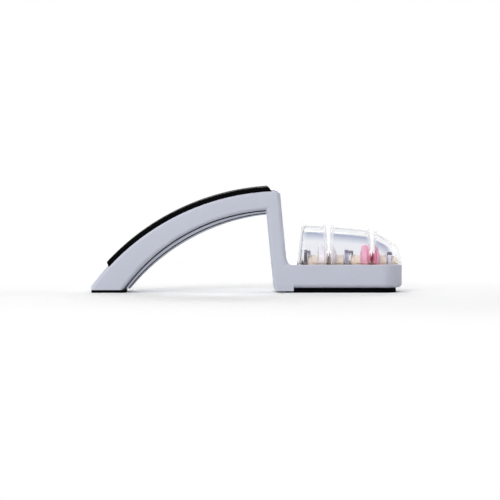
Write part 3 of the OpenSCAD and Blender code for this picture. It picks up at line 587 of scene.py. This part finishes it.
# how finely the lid is worked out. rise holds the heights over the rim of the rows up the flange,
# onFlange how far each of them stands out with it; the rows above them fan out from fanHeight
lidGrid = dict(
    rise=(0, 0.2, 1.35, 1.6, 1.61, 2.0), onFlange=(1, 1, 1, 0.8, 0, 0),
    fanHeight=2.4, fanRows=61, fanTurns=((0, 10, 46, 60), (0, 27, 64, 90)),
    beadSteps=13, faceSteps=9, endSteps=9, middleSteps=17, domeRays=73,
    rayReach=90.0, halvings=44, firstGuess=20, passes=5, slopeStep=0.02,
)
# the depths below the lid's outline where its painted shade is none, full and least, how far inside
# the wall's face it starts, over what width, and the heights of the painted shade band at the foot
lidPaintedShade = dict(
    depths=(5.0, 6.2, 12), least=0.22, inset=1.5, ease=1.2,
    front=41.2, frontEase=0.5,
    paintedFootBand=(21.3, 23.5, 26.5), paintedFootShares=(1, 0.5, 0),
)


def roundMax(a, b, r):
    # the larger of two distances, with the edge where they meet rounded to the radius r
    u, v = np.maximum(a + r, 0), np.maximum(b + r, 0)
    return np.hypot(u, v) - r + np.minimum(np.maximum(a, b) + r, 0)


def softMax(a, b, k):
    # the larger of two distances, eased over a band k wide
    h = np.maximum(k - np.abs(a - b), 0) / k
    return np.maximum(a, b) + h * h * k / 4


def sideOutline(x, z):
    # distances outside the crown's arc and outside the nose's arc with its slope, and the turn
    # of the nose's outward direction
    crown = np.hypot(x - hood["crownCentre"][0], z - hood["crownCentre"][1]) - hood["crownRadius"]
    rx, rz = x - hood["noseCentre"][0], z - hood["noseCentre"][1]
    angle = np.clip(np.arctan2(rz, rx), 0, radians(hood["noseTurn"]))
    nose = rx * np.cos(angle) + rz * np.sin(angle) - hood["noseRadius"]
    return crown, nose, angle


def hoodField(p, grow):
    # signed distance to the lid's whole form grown by grow: the side outline, the outline seen
    # from above and the leaning back plane, rounded together
    h = hood
    x, y, z = p[..., 0], np.abs(p[..., 1]), p[..., 2]
    crown, nose, angle = sideOutline(x, z)
    top = softMax(crown, nose, h["crease"]) - grow
    topX = np.where(nose > crown, np.cos(angle), h["crownSlope"])
    corner = h["planRadius"] + grow
    front = h["noseCentre"][0] + h["noseRadius"]
    qx, qy = x - front - grow + corner, y - h["half"] - grow + corner
    ux, uy = np.maximum(qx, 0), np.maximum(qy, 0)
    out = np.hypot(ux, uy)
    plan = out + np.minimum(np.maximum(qx, qy), 0) - corner
    planX = np.where(out > tiny, ux / np.maximum(out, tiny), qx > qy)
    share = np.sqrt(np.clip(1 - (topX * planX) ** 2, h["leastShoulder"] ** 2, 1))
    shell = roundMax(top, plan, (h["shoulder"] + grow) * share)
    lean = radians(h["lean"])
    rear = (z - h["rim"]) * sin(lean) - (x - h["back"]) * cos(lean) - grow
    onSide = np.clip((plan - top + h["edgeBand"]) / (2 * h["edgeBand"]), 0, 1)
    edge = h["topEdge"] + (h["backRadius"] + grow - h["topEdge"]) * onSide
    return roundMax(shell, rear, edge)


def hoodHits(origin, direction, grow):
    # where rays from inside leave the form, by halving an interval many times over
    near = np.zeros(origin.shape[:-1])
    far = np.full(origin.shape[:-1], lidGrid["rayReach"])
    for _ in range(lidGrid["halvings"]):
        middle = (near + far) / 2
        inside = hoodField(origin + middle[..., None] * direction, grow) < 0
        near, far = np.where(inside, middle, near), np.where(inside, far, middle)
    return origin + far[..., None] * direction


def unit(vectors):
    return vectors / np.maximum(np.linalg.norm(vectors, axis=-1, keepdims=True), tiny)


def hoodNormals(p):
    # outward directions of the form, from the slope of its distance field
    steps = np.eye(3) * lidGrid["slopeStep"]
    return unit(np.stack([hoodField(p + d, 0) - hoodField(p - d, 0) for d in steps], axis=-1))


def hoodRows():
    # each row has the height where its rays start, their elevation, and how far it lies on the
    # flange (1) or the wall (0); they run from the rim up to the ridge
    g = lidGrid
    rise = np.array(g["rise"])
    low = np.stack([hood["rim"] + rise, 0 * rise, g["onFlange"]], axis=-1)
    count = g["fanRows"]
    turns = np.interp(np.arange(count), *g["fanTurns"])
    high = np.stack([np.full(count, hood["rim"] + g["fanHeight"]), turns, np.zeros(count)], axis=-1)
    return np.concatenate([low, high])


def faceX(slot, side, z):
    # a slot's face at height z: straight past the wheels, then opening towards the handle
    opening = np.interp(z, *hood["mouthRise"]) * hood["mouth"] * (side < 0)
    return slot + side * (hood["slotHalf"] + opening)


def guideX(slot, side, z):
    # the far side of the wall beside a slot, which swells towards the crown
    s = np.clip((z - hood["flareStart"]) / (hood["flareEnd"] - hood["flareStart"]), 0, 1)
    return faceX(slot, side, z) + side * (hood["guide"] + hood["flare"] * s * s * (3 - 2 * s))


def bothSides(values):
    # a quantity given from rim to ridge, carried on down the other side
    return np.concatenate([values, values[::-1][1:]])


def ringAt(place, grow, rows):
    # one arch of points across the lid from rim to rim. place(z) gives the points' X, so rays are
    # cast in planes across the lid, again and again, until X and Z agree
    elevation = np.radians(np.concatenate([rows[:, 1], 180 - rows[::-1, 1][1:]]))
    start = bothSides(rows[:, 0])
    z = start + lidGrid["firstGuess"] * np.sin(elevation)
    for _ in range(lidGrid["passes"]):
        x = np.broadcast_to(place(z), z.shape)
        origin = np.stack([x, 0 * x, start], axis=-1)
        direction = np.stack([0 * x, -np.cos(elevation), np.sin(elevation)], axis=-1)
        hit = hoodHits(origin, direction, grow)
        z = hit[..., 2]
    return hit


def dome(centre, towards, grow, rows):
    # a fan of rays about a plumb line, from one side wall round the end to the other
    beta = np.radians(np.linspace(-90, 90, lidGrid["domeRays"]))
    elevation = np.radians(rows[:, 1])
    shape = (len(beta), len(rows))
    direction = np.stack([np.cos(beta)[:, None] * towards * np.cos(elevation),
                          np.sin(beta)[:, None] * np.cos(elevation),
                          np.broadcast_to(np.sin(elevation), shape)], axis=-1)
    start = rows[:, 0][None, :] + np.zeros(shape)
    origin = np.stack(np.broadcast_arrays(centre, 0.0, start), axis=-1)
    return hoodHits(origin, direction, grow)


def pushFlange(points, onFlange):
    # the rows on the flange stand out sideways from the walls
    sideways = hoodNormals(points)
    sideways[..., 2] = 0
    return points + unit(sideways) * (onFlange * hood["flangeOut"])[..., None]


def raiseBead(points, distance, onFlange):
    # a round bead stands on the skin, by the height of a circle at this distance from its middle
    normal = hoodNormals(points)
    lift = hood["beadSide"] + (hood["beadTop"] - hood["beadSide"]) * np.clip(normal[..., 2], 0, 1)
    r = hood["beadRadius"]
    height = np.sqrt(np.maximum(r * r - distance ** 2, 0)) + lift
    height = np.where(np.abs(distance) < r, np.maximum(height, 0), 0) * (onFlange == 0)
    return points + normal * height[..., None]


def wheelOpening(ring, place):
    # the opening's outline on the same rays: a circle round the wheels, flat along the floor
    dy, dz = ring[:, 1], ring[:, 2] - hood["rim"]
    reach = np.hypot(dy, dz)
    uy, uz = dy / reach, dz / reach
    drop = hood["rim"] - hood["axleHeight"]
    circle = -drop * uz + np.sqrt(hood["wheelRoom"] ** 2 - (drop * uy) ** 2)
    floor = (hood["slotFloor"] - hood["guide"] - hood["rim"]) / np.maximum(uz, tiny)
    far = np.minimum(np.maximum(circle, floor), reach)
    y, z = uy * far, hood["rim"] + uz * far
    return np.stack([place(z), y, z], axis=-1)


def between(first, last, place, count):
    # rows of points from one ring to another, kept on the surface that place describes
    t = np.linspace(0, 1, count)[:, None, None]
    grid = first + (last - first) * t
    grid[1:-1, :, 0] = place(grid[1:-1, :, 2])
    return grid


def footStrip(outer, inner):
    # the foot of a wall, from its outer face over its middle line to its inner face
    return np.stack([outer, (outer + inner) / 2, inner])


def slotEnd(slot, side, rows):
    # everything that closes a hood at a slot: the bead's stations, the slot's face with its
    # opening for the wheels, the thickness of that opening and the wall's inner side
    face = lambda z: faceX(slot, side, z)
    wall = lambda z: guideX(slot, side, z)
    onFlange = bothSides(rows[:, 2])
    r, steps = hood["beadRadius"], lidGrid["faceSteps"]
    outer = pushFlange(ringAt(face, 0, rows), onFlange)
    skin = [outer]
    for turn in np.linspace(0, pi, lidGrid["beadSteps"])[1:]:
        away = r * (1 - cos(turn))
        ring = ringAt(lambda z: face(z) + side * away, 0, rows)
        skin.append(pushFlange(raiseBead(ring, np.full(len(ring), r - away), onFlange), onFlange))
    inFace = ringAt(face, -hood["wall"], rows)
    inWall = ringAt(wall, -hood["wall"], rows)
    openFace, openWall = wheelOpening(inFace, face), wheelOpening(inWall, wall)
    edge = between(outer, inFace, face, 3)   # three rows, as in footStrip, which it meets
    grids = [edge, between(inFace, openFace, face, steps), np.stack([openFace, openWall]),
             between(openWall, inWall, wall, steps)]
    for k in (0, -1):
        grids.append(np.stack([edge[:, k], footStrip(outer[k], inWall[k])]))
    return skin, grids, inWall


def feet(outerSkin, innerSkin):
    # the strips along both rims of a skin that runs from rim to rim
    return [footStrip(outerSkin[:, k], innerSkin[:, k]) for k in (0, -1)]


def endHood(slot, side, centre, towards, rows):
    # a hood with a slot at one end and a rounded or leaning end at the other
    skin, grids, inWall = slotEnd(slot, side, rows)
    onFlange = bothSides(rows[:, 2])
    bead = side * 2 * hood["beadRadius"]
    for t in np.linspace(0, 1, lidGrid["endSteps"])[1:]:
        place = lambda z: (1 - t) * (faceX(slot, side, z) + bead) + t * centre
        skin.append(pushFlange(ringAt(place, 0, rows), onFlange))
    innerSkin = [inWall]
    for t in np.linspace(0, 1, len(skin))[1:]:
        place = lambda z: (1 - t) * guideX(slot, side, z) + t * centre
        innerSkin.append(ringAt(place, -hood["wall"], rows))
    outerSkin, innerSkin = np.stack(skin), np.stack(innerSkin)
    outerDome = dome(centre, towards, 0, rows)
    outerDome = pushFlange(outerDome, np.broadcast_to(rows[:, 2], outerDome.shape[:-1]))
    innerDome = dome(centre, towards, -hood["wall"], rows)
    rims = [footStrip(outerDome[:, 0], innerDome[:, 0])] + feet(outerSkin, innerSkin)
    return grids + [outerSkin, innerSkin, outerDome, innerDome] + rims


def middleHood(rows):
    # a hood with a slot at each end
    onFlange = bothSides(rows[:, 2])
    backSlot, foreSlot, wide = hood["coarseSlot"], hood["fineSlot"], 2 * hood["beadRadius"]
    backSkin, backGrids, backWall = slotEnd(backSlot, 1, rows)
    foreSkin, foreGrids, foreWall = slotEnd(foreSlot, -1, rows)
    backEdge = lambda z: faceX(backSlot, 1, z) + wide
    foreEdge = lambda z: faceX(foreSlot, -1, z) - wide
    plain = []
    for t in np.linspace(0, 1, lidGrid["middleSteps"])[1:-1]:
        place = lambda z: (1 - t) * backEdge(z) + t * foreEdge(z)
        plain.append(pushFlange(ringAt(place, 0, rows), onFlange))
    outerSkin = np.stack(backSkin + plain + foreSkin[::-1])
    innerSkin = [backWall]
    for t in np.linspace(0, 1, len(outerSkin))[1:-1]:
        place = lambda z: (1 - t) * guideX(backSlot, 1, z) + t * guideX(foreSlot, -1, z)
        innerSkin.append(ringAt(place, -hood["wall"], rows))
    innerSkin = np.stack(innerSkin + [foreWall])
    return backGrids + foreGrids + [outerSkin, innerSkin] + feet(outerSkin, innerSkin)


def prism(profile, start, end):
    # a bar along X with this outline in Y and Z, closed at both ends
    ring = np.concatenate([profile, profile[:1]])
    middle = np.tile(profile.mean(axis=0), (len(ring), 1))
    first, last = [np.column_stack([np.full(len(ring), x), ring]) for x in (start, end)]
    caps = [np.stack([edge, np.column_stack([edge[:, 0], middle])]) for edge in (first, last)]
    return [np.stack([first, last])] + caps


def lidBars():
    # bridges across the slots at the foot of each side, and the tongues that locate the lid
    h = hood
    low, step, floor = h["rim"], h["rim"] + h["flangeHeight"], h["slotFloor"]
    inner, out = h["half"] - h["wall"], h["half"] + h["flangeOut"]
    under, wide = floor - h["guide"], h["slotHalf"] + h["bridgeLap"]
    near, far = h["tongueHalf"]
    foot, lap = h["tongueFoot"], inner + h["tongueLap"]
    bars = []
    for side in (-1, 1):
        bridge = np.array([[inner, low], [out, low], [out, step], [h["half"], step],
                           [h["half"], floor], [h["bridgeIn"], floor], [h["bridgeIn"], under],
                           [inner, under]]) * (side, 1)
        for slot in (h["coarseSlot"], h["fineSlot"]):
            bars.append(prism(bridge, slot - wide, slot + wide))
        tongue = np.array([[near, foot], [far, foot], [far, low], [lap, low], [lap, step],
                           [near, step]]) * (side, 1)
        bars.append(prism(tongue, h["tongueFrom"], h["tongueTo"]))
    return bars


def paintLidShade(mesh):
    # painted shade, for the darker surroundings that the walls bend in, is greatest just inside the
    # shoulder on the flat side walls and fades below it; painted foot shade dims the band along the
    # foot of the walls
    s = lidPaintedShade
    x, y, z = pointsOf(mesh)
    crown, nose, _ = sideOutline(x, z)
    paintedShade = np.interp(-np.maximum(crown, nose), s["depths"], [0, 1, s["least"]])
    face = hood["half"] - hood["wall"] - s["inset"]
    paintedShade *= np.clip((np.abs(y) - face) / s["ease"], 0, 1)
    paintedShade *= np.clip((x - s["front"]) / s["frontEase"], 0, 1)
    addLayer(mesh, "paintedShade", paintedShade)
    addLayer(mesh, "paintedFootShade", np.interp(z, s["paintedFootBand"], s["paintedFootShares"]))


def makeLid():
    # the three hoods with the bars that hold them together, as one piece with two marked layers
    h = hood
    rows = hoodRows()
    hoods = [endHood(h["coarseSlot"], -1, h["backFan"], -1, rows), middleHood(rows),
             endHood(h["fineSlot"], 1, h["noseFan"], 1, rows)]
    for grids in hoods:
        for grid in grids:                   # no bead passes the body's sides
            grid[..., 1] = np.clip(grid[..., 1], -h["widest"], h["widest"])
    lid = joinPieces("clearLid", [meshFromGrids("lidPart", grids) for grids in hoods + lidBars()])
    smoothExcept(lid, h["sharp"])
    paintLidShade(lid.data)
    return lid


clearLid = makeLid()
clearLid.data.materials.append(clearPlastic)
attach(clearLid, "lid")
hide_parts("lid")
print("lid ready", len(clearLid.data.polygons))


# the cover that closes the handle from below, with its two shadow grooves; all in mm, but for
# turns in degrees about the centre. Half widths are measured from the handle's middle
cover = dict(
    centre=(22.9, -77.5), radius=137.5,      # the handle's underside
    start=93.7, wallStart=95.2,              # turns at the pillar, of the cover and its side walls
    foot=143.4,                              # turn at the foot, which the bulge runs to
    endHeight=3.0, wallEndHeight=4.7,        # heights over the floor where both are cut off
    wallTop=4.0, wallHalf=20.3, wall=1.8, wallEase=0.2, wallRise=0.3,    # the side walls
    neckHalf=18.0, neckDepth=0.85, neckEase=0.1,    # the groove under the handle's edge
    stripHalf=19.4, stripEnd=0.60, stripRound=0.3,    # each End is a share of the depth
    grooveHalf=17.2, grooveEnd=0.76,         # the groove beside the crown
    crownHalf=18.3, crownRound=2.2, crownLip=0.15, crownStart=0.1, crownSteps=9,
    flats=(10, 6, 2, 0),
    endDrop=3.05, bulge=1.75, bulgeSpan=(92, 150),    # the depth, and what the middle adds
    ledge=(1.8, 0.8), hollowHalf=16.2, hollowFloor=-1.9,    # the inside
    stations=160, sharp=35,
    screwTurns=(104, 131), headRoom=3.0, shankRoom=1.7, headDepth=0.6, cutFrom=-9,
    bossRadius=4.5, bossTop=0.3, bossSink=0.5, bossGap=0.05,
    darkInset=0.5, darkEase=0.8, darkGap=0.05,    # where the recessed skins get painted shade
)


def coverDrop(turn):
    # how far the cover hangs below the handle's edge: least at its ends, most in its middle
    first, last = cover["bulgeSpan"]
    return cover["endDrop"] + cover["bulge"] * np.sin(np.pi * (turn - first) / (last - first))


def coverProfile(drop):
    # half of the cover's section, outside then inside, from the wall's tip to the middle. drop is
    # an array of depths; each point is (height over the handle's edge, distance from the middle)
    c = cover
    one = np.ones_like(drop)
    strip, groove = -c["stripEnd"] * drop, -c["grooveEnd"] * drop
    r, ease, neck = c["stripRound"], c["wallEase"], c["neckEase"]
    outside = [(c["wallTop"] * one, c["wallHalf"]), (ease * one, c["wallHalf"]),
               (0 * one, c["wallHalf"] - ease), (0 * one, c["neckHalf"] + neck),
               (-neck * one, c["neckHalf"]), (-c["neckDepth"] * one, c["neckHalf"])]
    bend = [(r * (1 - cos(turn)), c["stripHalf"] - r + r * sin(turn))
            for turn in np.radians([0, 30, 60, 90])]
    outside += [((-c["neckDepth"] - fall) * one, half) for fall, half in bend]
    outside += [(strip + fall, half) for fall, half in bend[::-1]]
    outside += [(strip, c["grooveHalf"]), (groove, c["grooveHalf"]),
                (groove, c["crownHalf"] - c["crownLip"])]
    for turn in np.radians(np.linspace(0, 90, c["crownSteps"])):
        share = c["crownStart"] + (1 - c["crownStart"]) * sin(turn)
        outside.append((groove - (drop + groove) * share,
                        c["crownHalf"] - c["crownRound"] * (1 - cos(turn))))
    outside += [(-drop, half) for half in c["flats"]]
    inner, floor = c["wallHalf"] - c["wall"], c["hollowFloor"]
    corners = [(c["wallTop"], inner), (c["ledge"][0], inner), (c["ledge"][1], c["hollowHalf"]),
               (floor, c["hollowHalf"])] + [(floor, half) for half in c["flats"]]
    # corners are repeated until the inside has as many points as the outside; doubles merge later
    repeats = [1, 3, 2, 0, 1, 1, 1, 1]
    repeats[3] = len(outside) - sum(repeats)
    inside = [(t * one, y) for (t, y), count in zip(corners, repeats) for _ in range(count)]
    pack = lambda chain: np.stack([np.stack([t, y * one]) for t, y in chain])
    return pack(outside), pack(inside)


def onArc(look, height, turn):
    # X and Z of a point this high over an arc, at this turn in radians about its centre
    radius = look["radius"] + height
    return look["centre"][0] + radius * np.cos(turn), look["centre"][1] + radius * np.sin(turn)


def sweepCover(chain, share):
    # carries the chain round the underside's centre; each point's own arc runs from the pillar to
    # the height where the cover is cut off, so both ends come out flat
    c = cover
    height, side = chain[:, 0], chain[:, 1]
    above = np.clip((height - c["wallEase"]) / c["wallRise"], 0, 1)
    first = c["start"] + (c["wallStart"] - c["start"]) * above
    cut = c["endHeight"] + (c["wallEndHeight"] - c["endHeight"]) * above
    last = 180 - np.degrees(np.arcsin((cut - c["centre"][1]) / (c["radius"] + height)))
    x, z = onArc(c, height, np.radians(first + (last - first) * share))
    half = np.stack([x, -side, z], axis=-1)
    return np.concatenate([half, half[::-1][1:] * (1, -1, 1)])


def turnedOn(look, turn, profile, steps=49):
    # a round solid standing on an arc at this turn in degrees: profile points are (distance from
    # its line, height over the arc), and the ring of points goes once round
    turn = radians(turn)
    out, along = np.array([cos(turn), 0, sin(turn)]), np.array([sin(turn), 0, -cos(turn)])
    around = np.linspace(0, 2 * pi, steps)[:, None, None]
    r, height = np.array(profile).T[..., None]
    middle = np.array([look["centre"][0], 0, look["centre"][1]]) + (look["radius"] + height) * out
    return middle + r * (np.cos(around) * along + np.sin(around) * np.array([0, 1, 0]))


def makeCover():
    # the swept shell, cut through below its two screws, with a boss round each hole
    c = cover
    share = np.linspace(0, 1, c["stations"])[None, :]
    drop = coverDrop(c["start"] + (c["foot"] - c["start"]) * share)[0]
    outside, inside = [np.swapaxes(sweepCover(chain, share), 0, 1) for chain in coverProfile(drop)]
    grids = [outside, inside] + [np.stack([outside[:, k], inside[:, k]]) for k in (0, -1)]
    grids += [np.stack([outside[k], inside[k]]) for k in (0, -1)]
    shell = meshFromGrids("handleCover", grids, weld=2e-6)
    cutters, bosses = [], []
    head, shank, floor, top = c["headRoom"], c["shankRoom"], c["hollowFloor"], c["bossTop"]
    base, under = floor + c["headDepth"], floor - c["bossSink"]
    for turn in c["screwTurns"]:
        plug = [(0, c["cutFrom"]), (head, c["cutFrom"]), (head, base), (0, base)]
        cutters.append(meshFromGrids("cutter", [turnedOn(c, turn, plug)]))
        tube = [(shank, floor), (head, floor), (head + c["bossGap"], under),
                (c["bossRadius"], under), (c["bossRadius"], top), (shank, top), (shank, floor)]
        bosses.append(meshFromGrids("boss", [turnedOn(c, turn, tube)]))
    cutter = joinPieces("recesses", cutters)
    cut = shell.modifiers.new("recesses", "BOOLEAN")
    cut.operation, cut.solver, cut.object = "DIFFERENCE", "EXACT", cutter
    shaped = shell.evaluated_get(bpy.context.evaluated_depsgraph_get())
    carved = bpy.data.meshes.new_from_object(shaped)
    shell.modifiers.clear()
    shell.data = carved
    dropObject(cutter)
    made = joinPieces("handleCover", [shell] + bosses)
    smoothExcept(made, c["sharp"])
    return made


def shadeGrooves(mesh):
    # the groove attribute is 1 on the skins set back under the neck and in the groove, where
    # painted shade darkens them
    c = cover
    x, y, z = pointsOf(mesh)
    dx, dz = x - c["centre"][0], z - c["centre"][1]
    height = np.hypot(dx, dz) - c["radius"]
    low = -c["grooveEnd"] * coverDrop(np.degrees(np.arctan2(dz, dx)))
    across, gap = np.abs(y), c["darkGap"]
    deep = np.clip((c["stripHalf"] - c["darkInset"] - across) / c["darkEase"], 0, 1)
    skin = (height < gap) & (height > low - gap) & (across > c["hollowHalf"] + c["darkInset"])
    addLayer(mesh, "paintedGrooveShade", deep * skin)


handleCover = makeCover()
shadeGrooves(handleCover.data)
handleCover.data.materials.append(coverGrey)
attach(handleCover, "body")
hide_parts("handle_liner")
print("cover ready", len(handleCover.data.polygons))


# the rubber strip along the handle's back, whose sides reach over the handle's rounding; all in
# mm, but for turns and slopes in degrees
grip = dict(
    centre=(25.5, -96.69), radius=171.29,    # the handle's back
    front=92.74, back=137.21, frontSlope=45, backSlope=25,
    thick=2.4, half=22.3, edge=1.4, edgeSteps=7, flatTop=(0, 7, 14, 18), flatUnder=(14, 7, 0),
    bodyHalf=23, bodyEdge=3, press=0.05,     # the handle's rounding, and how far it is pressed in
    stations=110, sharp=35,
    pegTurns=(97, 113, 129), pegRadius=2, pegLength=3.2, pegEase=0.3, pegRoot=0.5,
)


def makeGrip():
    # the section runs from the middle of the top, over the rounded edge, down the side and back
    # along the handle's own rounding; each point's arc ends on the slope of the strip's ends
    g = grip
    flat = [(g["thick"], y) for y in g["flatTop"]]
    turn = np.radians(np.linspace(90, 0, g["edgeSteps"]))
    edge = np.stack([g["thick"] + g["edge"] * (np.sin(turn) - 1),
                     g["half"] + g["edge"] * (np.cos(turn) - 1)], 1)
    outside = np.concatenate([flat, edge, [(0, g["half"])]])
    # as many points below as above, so that the ends close
    count = len(outside)
    bend = g["bodyHalf"] - g["bodyEdge"]
    under = np.linspace(g["half"], bend, count - len(g["flatUnder"]))
    sink = g["bodyEdge"] - np.sqrt(g["bodyEdge"] ** 2 - (under - bend) ** 2)
    below = np.stack([-sink - g["press"], under], 1)
    chain = np.concatenate([outside, below, [(-g["press"], y) for y in g["flatUnder"]]])
    height, side = chain[:, 0][None, :], chain[:, 1][None, :]
    share = np.linspace(0, 1, g["stations"])[:, None]
    slope = lambda degrees: np.degrees(height * np.tan(radians(degrees)) / g["radius"])
    first, last = g["front"] + slope(g["frontSlope"]), g["back"] - slope(g["backSlope"])
    x, z = onArc(g, height, np.radians(first + (last - first) * share))
    half = np.stack([x, -side + 0 * x, z], axis=-1)
    grids = [half, half * (1, -1, 1)]
    for end in (half[0], half[-1]):
        cap = np.stack([end[:count], end[count:][::-1]])
        grids += [cap, cap * (1, -1, 1)]
    strip = meshFromGrids("gripStrip", grids, weld=2e-6)
    r, deep, ease = g["pegRadius"], -g["pegLength"], g["pegEase"]
    peg = [(0, deep), (r - ease, deep), (r, deep + ease), (r, g["pegRoot"]), (0, g["pegRoot"])]
    pegs = [meshFromGrids("peg", [turnedOn(g, turn, peg)]) for turn in g["pegTurns"]]
    made = joinPieces("gripStrip", [strip] + pegs)
    smoothExcept(made, g["sharp"])
    return made


gripStrip = makeGrip()
gripStrip.data.materials.append(gripRubber)
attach(gripStrip, "body")
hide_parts("grip_pad")
print("grip ready", len(gripStrip.data.polygons))

scene.view_settings.view_transform = "Standard"

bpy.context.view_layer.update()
